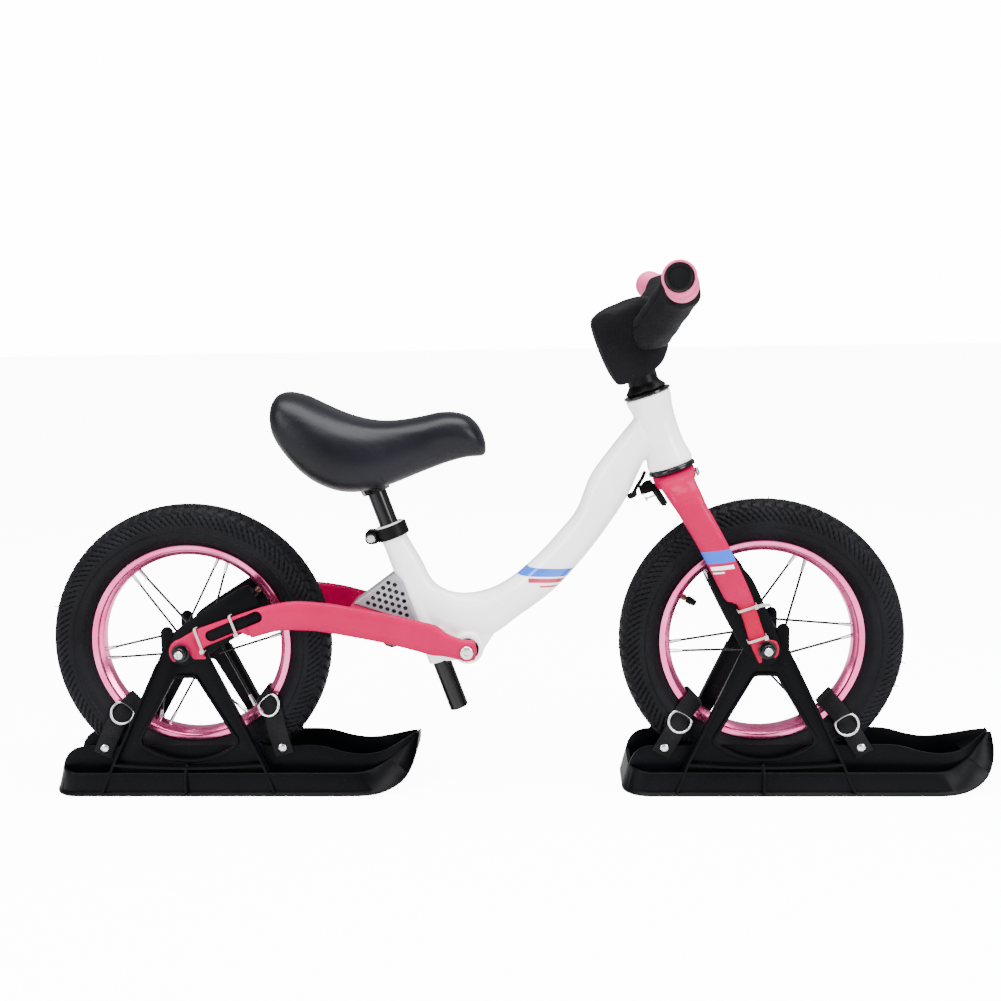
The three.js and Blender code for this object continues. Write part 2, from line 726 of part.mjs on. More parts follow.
add(bike, 'main_frame', mainFrame(), 'whitePaint');
add(bike, 'headset_lower_cup', headCup(headTubeStart - gap, 4.6, 27.5, -1), 'blackPaint');
add(bike, 'headset_upper_cup', headCup(headTubeStart + headTubeLength + gap, 4.2, 24.5, 1), 'blackPaint');

// Seat post, clamp and saddle

function seatClamp() {
  const band = solid(bar(seatPoint(-8), seatPoint(5.5), 17.6, 14));
  const collarBore = solid(bar(seatPoint(-gap), seatPoint(12), seatTubeRadius + 0.8, 12));
  const postBore = solid(bar(seatPoint(-30), seatPoint(30), postRadius + 1, 8));
  const ears = new THREE.BoxGeometry(14, 22, 13.5);
  ears.rotateY(THREE.MathUtils.degToRad(-seatAngle));
  const at = seatPoint(-1.2);
  ears.translate(at.x - 20, 0, at.z - 7);
  const slot = new THREE.BoxGeometry(30, 3, 40);
  slot.translate(at.x - 24, 0, at.z - 6);
  const bolt = solid(crossBar(at.x - 21.5, at.z - 7.5, -30, 30, 3, 8));
  return cut(fuse(band, solid(ears)), collarBore, postBore, solid(slot), bolt);
}

function seatClampBolt() {
  const at = seatPoint(-1.2);
  const x = at.x - 21.5;
  const z = at.z - 7.5;
  const shank = solid(crossBar(x, z, -11.5, 14, 2.6, 10));
  const head = solid(crossBar(x, z, -15.5, -11.3, 4.6, 12));
  const socket = solid(crossBar(x, z, -17, -13, 2.3, 6));
  return cut(fuse(shank, head), socket);
}

// The moulded tray under the saddle's cushion is one piece with the post
function saddleTray() {
  const tray = solid(saddleShell(2, 0.1, 0.26, 8, 8));
  const socket = solid(bar(seatPoint(-46), seatPoint(-62), postRadius + 5, 12, postRadius + 8));
  return fuse(tray, socket);
}

// Saddle sections: [x, underside z, top z, half width]
const saddleSections = [
  [-207, 238, 252, 14], [-203, 226, 261, 31], [-193, 207, 267.5, 43], [-176, 184, 265, 50.5],
  [-155, 170, 254, 54], [-131, 163, 243, 54], [-105, 165, 236, 50], [-80, 173, 235, 43],
  [-52, 184, 239, 36], [-26, 195, 244.5, 31], [-6, 202, 242, 26.5], [8, 209, 233, 19],
  [15, 215, 224, 9],
];

function saddleShell(inset, floorShare, ceilingShare, sides, margin = 0, bend = 0.72) {
  const rings = saddleSections.slice(inset, saddleSections.length - inset).map(([x, low, high, half]) => {
    const z0 = low + (high - low) * floorShare;
    const z1 = low + (high - low) * ceilingShare;
    const reach = half - margin;
    return Array.from({ length: sides }, (_, k) => {
      const angle = (k + 0.5) * 2 * Math.PI / sides;
      const c = Math.cos(angle);
      const s = Math.sin(angle);
      const y = reach * Math.sign(c) * Math.abs(c) ** bend;
      const z = (z0 + z1) / 2 + (z1 - z0) / 2 * Math.sign(s) * Math.abs(s) ** (bend + 0.13);
      return new THREE.Vector3(x, y, z);
    });
  });
  return loft(rings);
}

function seatPost() {
  const post = solid(bar(seatPoint(-58), seatPoint(seatTubeLength + 44), postRadius, 12));
  const bore = solid(bar(seatPoint(seatTubeLength + 8), seatPoint(seatTubeLength + 60), postRadius - 1.8, 8));
  return cut(fuse(post, saddleTray()), bore);
}

function saddlePad() {
  const outer = solid(saddleShell(0, 0, 1, 14));
  const hollow = solid(saddleShell(1, -0.5, 0.36, 8, 5, 0.3));
  return cut(outer, hollow);
}

add(bike, 'seat_clamp', seatClamp(), 'blackPaint');
add(bike, 'seat_clamp_bolt', seatClampBolt(), 'steel');
add(bike, 'seat_post', seatPost(), 'blackPaint');
add(bike, 'saddle_pad', saddlePad(), 'leather');

// Swingarm with its pivot and the perforated block that springs it

function swingarm() {
  const top = [
    [3, 8], [-10, 8.5], [-27, 15], [-36, 23], [-54, 28], [-87, 37], [-127, 46.5], [-151, 51.5],
    [-183, 54.5], [-212, 50], [-238, 42],
  ];
  const bottom = [
    [3, -14], [-10, -14], [-31, -9.5], [-44, -8.5], [-62, -3], [-96, 7], [-128, 15], [-150, 20],
    [-172, 23], [-200, 23], [-229, 15.5],
  ];
  const spread = (t) => 32 + 17 * THREE.MathUtils.smoothstep(t, 0.2, 0.82);
  const arm = member(top, bottom, 11, 8, () => 5.5, spread, 3);
  const rear = -wheelbase / 2;
  const face = dropoutOuter + 3;
  const hook = plate(shapeOf([
    [-232, 43.5], [-262, 33.5], [-288, 24.5], ...arc(rear, 0, 14, 100, 235, 5),
    ...arc(rear, 0, 6, 240, 20, 4), [rear + 12, -8], [rear + 26, -8], [-284, 1], [-277, 7], [-241, 22],
    [-232, 17],
  ]), dropoutInner, dropoutOuter);
  const pad = plate(shapeOf([
    [-232, 43.5], [-262, 33.5], [-284, 26], [-290, 17], [-284, 2], [-277, 7], [-241, 22], [-232, 17],
  ]), dropoutOuter - 1, face);
  const recess = plate(shapeOf([
    [-274, 20], [-271, 23.5], [-244, 32.5], [-241, 30], [-243, 26.5], [-268, 14.5], [-272, 16],
  ]), dropoutOuter - 0.4, 60);
  const eye = crossBar(pivot.x, pivot.z, 24.9, 37.5, 10.3, 12);
  const bore = crossBar(pivot.x, pivot.z, 10, 60, 4.9, 8);
  const half = [arm, hook, pad, eye];
  const side = (place) => cut(
    fuse(...half.map((part) => solid(place(part)))),
    solid(place(recess)),
    solid(place(bore)),
  );
  const bridge = solid(plate(shapeOf([
    [-129, 43.9], [-127, 33], [-76, 15.5], [-70.5, 15.5], [-70.5, 24.5],
  ]), -36, 36));
  return fuse(side((part) => part), side(mirroredY), bridge);
}

// A flanged bush between the frame lug and each arm
function pivotBush(side) {
  const flange = solid(crossBar(pivot.x, pivot.z, side * 22.3, side * 24.6, 12, 12));
  const sleeve = solid(crossBar(pivot.x, pivot.z, side * 12, side * 23, 6, 8));
  return cut(fuse(flange, sleeve), solid(crossBar(pivot.x, pivot.z, side * 5, side * 30, 4.8, 8)));
}

function pivotBolt() {
  const shank = solid(crossBar(pivot.x, pivot.z, -38, 38, 4.3, 8));
  const head = (s) => solid(crossBar(pivot.x, pivot.z, s * 37.8, s * 41, 7, 8));
  const socket = solid(crossBar(pivot.x, pivot.z, -50, -39.4, 2.6, 6));
  return cut(fuse(shank, head(1), head(-1)), socket);
}

// The springy block between the seat tube and the bridge of the swingarm, with rows of holes
function damperBlock() {
  const corners = [[-84, 75], [-75, 68], [-58.5, 21], [-127, 43.6]];
  const spacing = 9.4;
  const inside = (x, z) => corners.every(([ax, az], k) => {
    const [bx, bz] = corners[(k + 1) % corners.length];
    const length = Math.hypot(bx - ax, bz - az);
    return ((bx - ax) * (z - az) - (bz - az) * (x - ax)) / length < -4.2;
  });
  const holes = [];
  for (let row = 0; row < 12; row += 1) {
    for (let column = 0; column < 14; column += 1) {
      const x = -126 + spacing * (column + (row % 2) / 2);
      const z = 20 + spacing * 0.866 * row;
      if (inside(x, z)) holes.push(circle(x, z, 2.9, 6));
    }
  }
  const behindTube = solid(plate(shapeOf([
    [-98.8, 112], [-85, 73], [-74.8, 44], [-66.8, 21], [-60, 0], [0, 100],
  ]), -seatTubeRadius - gap, seatTubeRadius + gap));
  return cut(solid(plate(shapeOf(corners, ...holes), -16, 16)), behindTube);
}

// The bolt under the bridge that holds the damper block
function damperBolt() {
  const slope = new THREE.Vector3(-0.321, 0, -0.947);
  const at = (distance) => new THREE.Vector3(-84, 0, 17.6).addScaledVector(slope, distance);
  return fuse(solid(bar(at(0), at(20), 3.2, 12)), solid(bar(at(19), at(25), 7.4, 6)));
}

add(bike, 'swingarm', swingarm(), 'pinkPaint');
add(bike, 'pivot_bush_right', pivotBush(-1), 'blackPlastic');
add(bike, 'pivot_bush_left', pivotBush(1), 'blackPlastic');
add(bike, 'pivot_bolt', pivotBolt(), 'steel');
add(bike, 'damper_block', damperBlock(), 'silverFoam');
add(bike, 'damper_bolt', damperBolt(), 'steel');

// Fork, drawn about the steering axis with the crown seat at the origin

function steererPoint(height) {
  return new THREE.Vector3(0, 0, height);
}

function forkLeg() {
  // [height, fore-aft centre, fore-aft half, distance from the middle, half thickness]
  const stations = [
    [-6, 0, 20, 8, 6], [-8, 0, 19, 22, 6], [-13, 0, 17.5, 36, 6.5], [-24, 2, 16.5, 45.5, 7],
    [-40, 5, 15, 49.5, 6.8], [-75, 12, 14.5, 50.6, 6.5], [-120, 18.5, 14, 50.5, 6.2],
    [-138, 21, 13, 50, 6], [-147, 26, 8.7, 48.2, 4.6], [-188, 26, 8.7, 47.2, 3.6],
  ];
  const sides = 8;
  const rings = stations.map(([z, cx, half, y, thick], k) => {
    const before = stations[Math.max(k - 1, 0)];
    const after = stations[Math.min(k + 1, stations.length - 1)];
    const along = new THREE.Vector2(after[3] - before[3], after[0] - before[0]).normalize();
    return Array.from({ length: sides }, (_, s) => {
      const angle = (s + 0.5) * 2 * Math.PI / sides;
      const c = Math.cos(angle);
      const sn = Math.sin(angle);
      const u = half * Math.sign(c) * Math.abs(c) ** 0.75;
      const v = thick * Math.sign(sn) * Math.abs(sn) ** 0.75;
      return new THREE.Vector3(cx + u, y - v * along.y, z + v * along.x);
    });
  });
  return loft(rings, (p) => [p.x, p.y + 0.5 * p.z]);
}

function forkDropout() {
  const outline = [
    [17.5, -178], [34.8, -178], [34.8, -190], ...arc(forkOffset, -forkDrop, 12.5, 30, -70, 5),
    ...arc(forkOffset, -forkDrop, 6, -60, 170, 4), [24, -212], [20, -212], [18, -196],
  ];
  return plate(shapeOf(outline), dropoutInner, dropoutOuter);
}

function fork() {
  const half = [forkLeg(), forkDropout()];
  const crown = solid(bar(steererPoint(-14), steererPoint(0), 21, 16, 22.5));
  const steerer = solid(bar(steererPoint(-2), steererPoint(128), steererRadius, 12));
  const bore = solid(bar(steererPoint(-40), steererPoint(150), steererRadius - 2.2, 10));
  const boltHole = solid(bar(new THREE.Vector3(-60, 0, -9), new THREE.Vector3(60, 0, -9), 3.1, 10));
  return cut(fuse(
    crown,
    steerer,
    ...half.map(solid),
    ...half.map((part) => solid(mirroredY(part))),
  ), bore, boltHole);
}

// The bolt through the crown, a low round head in front and a long nut behind
function crownBolt() {
  const at = (x) => new THREE.Vector3(x, 0, -9);
  const shank = bar(at(-38), at(24), 2.6, 6);
  const head = bar(at(23), at(26), 4.6, 10, 3);
  const nut = bar(at(-39), at(-23.6), 5.2, 10, 5.8);
  return fuse(...[shank, head, nut].map(solid));
}

// Stem: a collar clamped on the steerer, a short arm and the clamp of the handlebar
function stem() {
  const collar = solid(bar(steererPoint(89), steererPoint(128), 16, 12));
  const arm = solid(plate(shapeOf([[-10, 112], [14, 104], [34, 140], [12, 154]]), -12, 12));
  const clamp = solid(crossBar(barClamp.x, barClamp.z, -20, 20, 15.5, 12));
  const ears = new THREE.BoxGeometry(12, 14, 22);
  ears.translate(-18, 0, 103);
  const slot = new THREE.BoxGeometry(16, 2.4, 40);
  slot.translate(-18, 0, 103);
  const bolt = solid(crossBar(-20, 97, -11, 9, 2.6, 6));
  const bore = solid(bar(steererPoint(70), steererPoint(130), steererRadius + 0.9, 10));
  const barBore = solid(crossBar(barClamp.x, barClamp.z, -30, 30, barRadius + 1, 10));
  return fuse(cut(fuse(collar, arm, clamp, solid(ears)), solid(slot), bore, barBore), bolt);
}

// One half of the handlebar's middle line: straight through the clamp, forward and up to the
// knee, and from there back a little and up to the tip
function barHalf() {
  const outwards = new THREE.Vector3(barClamp.x, 40, barClamp.z);
  const knee = gripRoot.clone().lerp(barTip, -0.136);
  const rounded = (before, corner, after) => {
    const start = before.clone().sub(corner).setLength(12).add(corner);
    const end = after.clone().sub(corner).setLength(12).add(corner);
    return [start, start.clone().add(end).lerp(corner.clone().multiplyScalar(2), 0.5).divideScalar(2), end];
  };
  return [
    barClamp, ...rounded(barClamp, outwards, knee), outwards.clone().lerp(knee, 0.5),
    ...rounded(outwards, knee, barTip), gripRoot.clone().lerp(barTip, 0.5), barTip,
  ];
}

// The handlebar's middle line from the right to the left, or the run of it between two
// distances from the middle plane
function barCurve(from = null, to = null) {
  const half = barHalf();
  const other = half.slice(1).reverse().map((p) => new THREE.Vector3(p.x, -p.y, p.z));
  const whole = new THREE.CatmullRomCurve3([...other, ...half]);
  if (from === null) return whole;
  return new THREE.CatmullRomCurve3(whole.getSpacedPoints(360).filter((p) => p.y >= from && p.y <= to));
}

// Sets a left shape, drawn along +Y and ending at y = 0, at the end of the left grip
function atTip(geometry) {
  geometry.applyQuaternion(new THREE.Quaternion().setFromUnitVectors(
    new THREE.Vector3(0, 1, 0),
    barTip.clone().sub(gripRoot).normalize(),
  ));
  geometry.translate(barTip.x, barTip.y, barTip.z);
  return geometry;
}

function onSide(side, geometry) {
  return side > 0 ? geometry : mirroredY(geometry);
}

function handlebar() {
  const tube = solid(new THREE.ExtrudeGeometry(shapeOf(circle(0, 0, barRadius, 8)), {
    steps: 24,
    extrudePath: barCurve(),
  }));
  const socket = atTip(crossBar(0, 0, -22, 10, barRadius - 1.8, 10));
  const trim = new THREE.BoxGeometry(60, 20, 60);
  trim.translate(0, 7.5, 0);
  atTip(trim);
  return cut(tube, ...[socket, trim].flatMap((part) => [solid(part), solid(mirroredY(part))]));
}

// A foam sleeve on each half of the bar, from the stem to the grip
function barPad(side) {
  const section = shapeOf(circle(0, 0, 22, 10), circle(0, 0, barRadius + 1.6, 8).reverse());
  return onSide(side, new THREE.ExtrudeGeometry(section, { steps: 7, extrudePath: barCurve(28.8, 99) }));
}

// The folded pad round the stem, drawn from the side
function stemPad() {
  const outline = [
    [-33.5, 173], [-28, 178], [-17, 181], [-2, 181.5], [24, 183], [33, 177], [40, 166], [43, 152],
    [41, 140], [35.7, 132], [34.4, 127], [25.3, 113], [13.7, 107], [1.6, 104], [-25, 103],
    [-28, 108], [-32.3, 129], [-33.6, 149],
  ];
  const block = solid(plate(shapeOf(outline), -27, 27));
  const column = solid(bar(steererPoint(90), steererPoint(129.5), 17.4, 12));
  const ears = new THREE.BoxGeometry(16, 24, 34);
  ears.translate(-18, 0, 99);
  const arm = solid(plate(shapeOf([[-12, 112], [14, 102], [37, 140], [14, 158], [-2, 140]]), -13, 13));
  const clamp = solid(crossBar(barClamp.x, barClamp.z, -21, 21, 16.8, 12));
  const passage = solid(crossBar(barClamp.x, barClamp.z, -40, 40, barRadius + 1.4, 10));
  return cut(block, column, solid(ears), arm, clamp, passage);
}

function grip(side) {
  const inner = barRadius + 0.9;
  const sleeve = revolved(closedProfile([
    [inner, -81.6], [17.5, -81.6], [17.5, -79.2], [15, -76], [15, -8], [16.6, -5], [16.6, -1.4], [inner, -1.4],
  ]), 12);
  return onSide(side, atTip(sleeve));
}

function barEndPlug(side) {
  const cap = bar(new THREE.Vector3(0, -1.1, 0), new THREE.Vector3(), 14.5, 14, 13.5);
  const plug = fuse(solid(crossBar(0, 0, -18, -0.8, barRadius - 2.4, 8)), solid(cap));
  return onSide(side, atTip(geometryOf(plug)));
}

add(steered, 'fork', fork(), 'pinkPaint');
add(steered, 'crown_bolt', crownBolt(), 'steel');
add(steered, 'stem', stem(), 'blackPaint');
add(steered, 'handlebar', handlebar(), 'blackPaint');
add(steered, 'stem_pad', stemPad(), 'leather');
add(steered, 'bar_pad_right', barPad(-1), 'fabric');
add(steered, 'bar_pad_left', barPad(1), 'fabric');
add(steered, 'grip_right', grip(-1), 'pinkRubber');
add(steered, 'grip_left', grip(1), 'pinkRubber');
add(steered, 'bar_end_plug_right', barEndPlug(-1), 'rubber');
add(steered, 'bar_end_plug_left', barEndPlug(1), 'rubber');

export default object;
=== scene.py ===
"""Looks of a child's balance bike that stands on two strap-on skis.

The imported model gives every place: shapes are drawn in millimetres about the middle of the
bike, the steering axis or an axle, and set down in metres in the model's own frame.
"""
import json
import math
import random

import bmesh
import bpy
from mathutils import Matrix, Vector


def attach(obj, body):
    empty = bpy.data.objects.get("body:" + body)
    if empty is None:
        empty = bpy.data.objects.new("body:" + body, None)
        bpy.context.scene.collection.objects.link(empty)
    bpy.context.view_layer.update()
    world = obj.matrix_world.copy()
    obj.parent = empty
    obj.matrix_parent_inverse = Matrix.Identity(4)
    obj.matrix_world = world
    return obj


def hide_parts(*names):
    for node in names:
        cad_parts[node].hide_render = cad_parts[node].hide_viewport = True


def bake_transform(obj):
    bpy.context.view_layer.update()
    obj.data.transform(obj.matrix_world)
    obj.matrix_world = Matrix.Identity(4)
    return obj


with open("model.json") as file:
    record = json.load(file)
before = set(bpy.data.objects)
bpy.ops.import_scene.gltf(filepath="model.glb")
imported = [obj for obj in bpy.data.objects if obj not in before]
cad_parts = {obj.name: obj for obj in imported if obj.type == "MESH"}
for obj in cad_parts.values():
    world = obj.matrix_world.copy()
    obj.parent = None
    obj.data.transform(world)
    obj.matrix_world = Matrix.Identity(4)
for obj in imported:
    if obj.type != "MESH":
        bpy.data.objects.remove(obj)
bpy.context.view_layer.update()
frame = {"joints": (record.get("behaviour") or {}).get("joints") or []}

MM = 0.001

# Places and directions of the model's joints; the seat tube and the steerer both point up
JOINTS = {joint["name"]: joint for joint in frame["joints"]}
FRONT_AXLE, REAR_AXLE, CROWN, PIVOT = (
    Vector(JOINTS[name]["pos_m"]) for name in ("front_wheel", "rear_wheel", "steering", "swingarm")
)
MIDDLE = (FRONT_AXLE + REAR_AXLE) / 2
STEERER = Vector(JOINTS["steering"]["axis"]).normalized()
FORWARD = Vector((STEERER.z, 0, -STEERER.x))
POST = Vector(JOINTS["seat_height"]["axis"]).normalized()
SIDES = {"right": -1, "left": 1}

# Sizes shared with the model, in millimetres
TYRE_RADIUS = 150
TYRE_ROUND = 942.5
TYRE_MIDDLE = 126
RIM_FLANGE = 108
RIM_BED = 96
RIM_HALF = 12.2
HUB_FLANGE = 21
HUB_FLANGE_AT = 19
SPOKE_PAIRS = 6
SPOKE_SPREAD = 3.2
PLATE_INNER = 35.6
PLATE_OUTER = 39.6
LEVER_INNER = 39.9
LEVER_OUTER = 42.9
DROPOUT_INNER = 43.2
DROPOUT_OUTER = 48.2
PAD_OUTER = 51.2
SOLE = -157
SEAT_TOP = (-85.4, 0, 118)
SEAT_TUBE = 160
FORK_OFFSET = 32.5
FORK_DROP = 200.6
BAR_CLAMP = Vector((22, 0, 146))
GRIP_ROOT = Vector((58, 103, 180))
BAR_TIP = Vector((50, 184, 189))


# Camera, floor and light

def camera():
    """The photograph's view: where the camera stood, how it was turned and its lens."""
    eye = Vector((0.0417, -1.3411, 0.5072))
    yaw, pitch, roll = (math.radians(a) for a in (-2.47, 8.46, -0.91))
    picture, focal = 1001, 1285.9
    bpy.ops.object.camera_add()
    cam = bpy.context.object
    cam.name = "studio_camera"
    cam.data.sensor_width = 36
    cam.data.lens = focal / picture * cam.data.sensor_width
    cam.data.clip_start = 0.05
    cam.matrix_world = (
        Matrix.Translation(eye)
        @ Matrix.Rotation(-yaw, 4, "Z")
        @ Matrix.Rotation(math.pi / 2 - pitch, 4, "X")
        @ Matrix.Rotation(roll, 4, "Z")
    )
    bpy.context.scene.camera = cam


def soft_box(name, place, aim, size, power):
    bpy.ops.object.light_add(type="AREA", location=place)
    light = bpy.context.object
    light.name = name
    light.data.shape = "RECTANGLE"
    light.data.size, light.data.size_y = size
    light.data.energy = power
    light.rotation_euler = (Vector(aim) - Vector(place)).to_track_quat("-Z", "Y").to_euler()


def studio():
    """A pale floor that runs on to the horizon, a bright backdrop and three soft boxes."""
    bpy.ops.mesh.primitive_plane_add(size=30, location=(0, 0, 0))
    floor = bpy.context.object
    floor.name = "floor"
    floor.data.materials.append(floor_paint())
    middle = (0, 0, 0.25)
    soft_box("box_above", (0.1, -0.3, 2.2), middle, (2.2, 1.3), 150)
    soft_box("box_right", (1.9, -1.7, 1.4), middle, (1.0, 1.5), 95)
    soft_box("box_left", (-1.8, -1.6, 1.2), middle, (0.8, 1.5), 60)
    world = bpy.data.worlds.new("bright_room")
    bpy.context.scene.world = world
    world.use_nodes = True
    sky = world.node_tree.nodes["Background"]
    sky.inputs["Color"].default_value = (1, 1, 1, 1)
    plug(world, sky.inputs["Strength"], spread(world, camera_ray(world), 0.5, 15))


# Materials

def plug(material, socket, value):
    """A node's socket takes a value, or the output that is wired to it."""
    if isinstance(value, bpy.types.NodeSocket):
        material.node_tree.links.new(value, socket)
    else:
        socket.default_value = value


def node(material, kind, **settings):
    """A new node; each setting is one of its inputs or one of its properties."""
    made = material.node_tree.nodes.new(kind)
    for key, value in settings.items():
        name = key.replace("_", " ")
        if name in made.inputs:
            plug(material, made.inputs[name], value)
        else:
            setattr(made, key, value)
    return made


def combined(material, operation, first, second, kind="ShaderNodeMath"):
    made = node(material, kind, operation=operation)
    plug(material, made.inputs[0], first)
    plug(material, made.inputs[1], second)
    return made


def both(material, first, second):
    return combined(material, "MULTIPLY", first, second).outputs["Value"]


def spread(material, source, low, high):
    """0 to 1 turned into low to high."""
    return node(material, "ShaderNodeMapRange", Value=source, To_Min=low, To_Max=high).outputs["Result"]


def camera_ray(material):
    return node(material, "ShaderNodeLightPath").outputs["Is Camera Ray"]


def place_on(material):
    return node(material, "ShaderNodeTexCoord").outputs["Object"]


def shader_of(material):
    return material.node_tree.nodes["Principled BSDF"]


def speckle(material, scale, detail=4, stretch=(1, 1, 1)):
    """A noise pattern on the piece's own coordinates."""
    where = node(material, "ShaderNodeMapping", Vector=place_on(material), Scale=stretch)
    noise = node(material, "ShaderNodeTexNoise", Vector=where.outputs["Vector"], Scale=scale, Detail=detail)
    return noise.outputs["Fac"]


def bump(material, source, distance, strength):
    """Relief on top of the relief that is there already."""
    target = shader_of(material).inputs["Normal"]
    made = node(material, "ShaderNodeBump", Height=source, Strength=strength, Distance=distance)
    if target.is_linked:
        plug(material, made.inputs["Normal"], target.links[0].from_socket)
    plug(material, target, made.outputs["Normal"])


def weave(material, bands, depth, strength):
    """Crossed threads on the piece's own coordinates, at the wave texture's scale of bands."""
    threads = [
        node(material, "ShaderNodeTexWave", bands_direction=axis, Vector=place_on(material), Scale=bands,
             Distortion=0.4).outputs["Fac"]
        for axis in ("X", "Z")
    ]
    bump(material, combined(material, "MAXIMUM", *threads).outputs["Value"], depth, strength)


def paint(name, **sockets):
    """A named material with its shader's own sockets set."""
    material = bpy.data.materials.new(name)
    material.use_nodes = True
    for socket, value in sockets.items():
        shader_of(material).inputs[socket.replace("_", " ")].default_value = value
    return material


def surface(name, tones, rough=None, grain=None, **sockets):
    """A material with blotches of two tones, uneven gloss and a fine grain.

    Tones are (dark, light, ...), rough is (smooth, dull, ...) and grain is (depth, strength, ...),
    and each goes on with the scale, detail and stretch of its own speckle.
    """
    material = paint(name, **sockets)
    dark, light, *pattern = tones
    tone = node(material, "ShaderNodeValToRGB", Fac=speckle(material, *pattern))
    for element, position, colour in zip(tone.color_ramp.elements, (0.3, 0.7), (dark, light)):
        element.position = position
        element.color = (*colour, 1)
    plug(material, shader_of(material).inputs["Base Color"], tone.outputs["Color"])
    if rough:
        smooth, dull, *pattern = rough
        gloss = spread(material, speckle(material, *pattern), smooth, dull)
        plug(material, shader_of(material).inputs["Roughness"], gloss)
    if grain:
        depth, strength, *pattern = grain
        bump(material, speckle(material, *pattern), depth, strength)
    return material


def reach(material, origin, direction):
    """How far a point of the piece lies from the origin along a direction, in millimetres."""
    vectors = "ShaderNodeVectorMath"
    away = combined(material, "SUBTRACT", place_on(material), origin, vectors).outputs["Vector"]
    return combined(material, "DOT_PRODUCT", away, Vector(direction) / MM, vectors).outputs["Value"]


def band(material, source, low, high, edge=0.35):
    """1 between two values and 0 outside them, with soft edges."""
    rise, fall = (
        node(material, "ShaderNodeMapRange", Value=source, From_Min=start, From_Max=end).outputs["Result"]
        for start, end in ((low - edge, low + edge), (high + edge, high - edge))
    )
    return both(material, rise, fall)


def lay_over(material, mask, colour):
    """Another colour of paint where the mask is 1."""
    base = shader_of(material).inputs["Base Color"]
    under = base.links[0].from_socket
    mix = node(material, "ShaderNodeMix", data_type="RGBA", Factor=mask, A=under, B=(*colour, 1))
    plug(material, base, mix.outputs["Result"])


def stripe(material, level, heights, ahead, lengths, colour):
    """A painted stripe between two heights, as long as it reaches ahead."""
    mask = both(material, band(material, level, *heights), band(material, ahead, *lengths))
    lay_over(material, mask, colour)


def floor_paint():
    """White sweep, lit from behind so that it reads as white as the backdrop."""
    material = paint("floor_paint", Base_Color=(0.9, 0.9, 0.9, 1), Emission_Color=(1, 1, 1, 1))
    shader = shader_of(material)
    plug(material, shader.inputs["Roughness"], spread(material, speckle(material, 8), 0.55, 0.68))
    plug(material, shader.inputs["Emission Strength"], both(material, camera_ray(material), 11))
    return material


def pearl_white():
    """Gloss white with a fine pearl flake, blue and pink stripes at the down tube's bend."""
    material = surface("pearl_white", ((0.9, 0.895, 0.9), (0.96, 0.96, 0.965), 14), (0.2, 0.32, 900, 2),
                       (0.0001, 0.12, 60, 2), Coat_Weight=0.4, Coat_Roughness=0.06, Specular_IOR_Level=0.4)
    level, ahead = reach(material, MIDDLE, (0.02, 0, 1)), reach(material, MIDDLE, (1, 0, 0))
    blue, pink, front = (0.01, 0.11, 0.62), (0.45, 0.0, 0.06), 140
    stripe(material, level, (74, 83), ahead, (36, front), blue)
    stripe(material, level, (67.5, 72.3), ahead, (59, front), pink)
    stripe(material, level, (62.5, 64.6), ahead, (71, front), pink)
    return material


def coral_pink(name="coral_pink"):
    """Strong pink-red gloss with an even, thin clear coat."""
    return surface(name, ((0.32, 0.0, 0.041), (0.37, 0.0, 0.05), 18), (0.24, 0.36, 700, 2),
                   (0.0001, 0.12, 80, 2), Coat_Weight=0.08, Coat_Roughness=0.03, Specular_IOR_Level=0.02)


def fork_pink():
    """The same pink with the leg's blue and white stripes, a deeper tone low down and painted shade on the
    steerer.
    """
    material = coral_pink("fork_pink")
    ahead, level = reach(material, CROWN, FORWARD), reach(material, CROWN, STEERER + 0.209 * FORWARD)
    lay_over(material, band(material, level, -260, -141), (0.33, 0.0, 0.028))
    # Painted shade: the steerer is painted near-black where it shows in the dark gap between the headset cup
    # and the stem collar
    lay_over(material, band(material, level, 40, 300), (0.006, 0.006, 0.007))
    stripe(material, level, (-94.2, -81), ahead, (-20, 60), (0.02, 0.1, 0.55))
    stripe(material, level, (-101.4, -97.4), ahead, (3.4, 26), (0.9, 0.9, 0.92))
    stripe(material, level, (-105.2, -103.6), ahead, (4, 15), (0.9, 0.8, 0.84))
    return material


def satin_black(name, colour, grain, gleam):
    """Moulded black plastic: fine grain, faint flow marks and rubbed places."""
    light = tuple(value * 1.9 + 0.0005 for value in colour)
    return surface(name, (colour, light, 9, 5), (0.3, 0.5, 25, 6, (1, 1, 3)), (0.00012, 0.35, grain, 3),
                   Specular_IOR_Level=gleam)


def saddle_hide():
    """Smooth black cover with a very fine grain and a soft sheen."""
    material = surface("saddle_hide", ((0.0014, 0.0014, 0.003), (0.0034, 0.0035, 0.0066), 12, 5),
                       (0.34, 0.48, 40, 5), Coat_Weight=0.03, Coat_Roughness=0.3, Specular_IOR_Level=0.14)
    cells = node(material, "ShaderNodeTexVoronoi", Vector=place_on(material), Scale=900)
    bump(material, cells.outputs["Distance"], 0.00012, 0.25)
    bump(material, speckle(material, 30, 3), 0.0006, 0.15)
    return material


def pad_cloth():
    """Coated black cloth over foam: a tight plain weave with a dull sheen."""
    material = surface("pad_cloth", ((0.0008, 0.0008, 0.0014), (0.003, 0.003, 0.0044), 25, 6), Roughness=0.66,
                       Sheen_Weight=0.01, Sheen_Roughness=0.5, Specular_IOR_Level=0.09)
    weave(material, 75, 0.0002, 0.6)
    return material


def webbing_cloth():
    material = surface("webbing_cloth", ((0.001, 0.001, 0.0014), (0.004, 0.004, 0.005), 90, 5),
                       Roughness=0.75, Sheen_Weight=0.015, Sheen_Roughness=0.5, Specular_IOR_Level=0.12)
    weave(material, 130, 0.0003, 0.9)
    return material


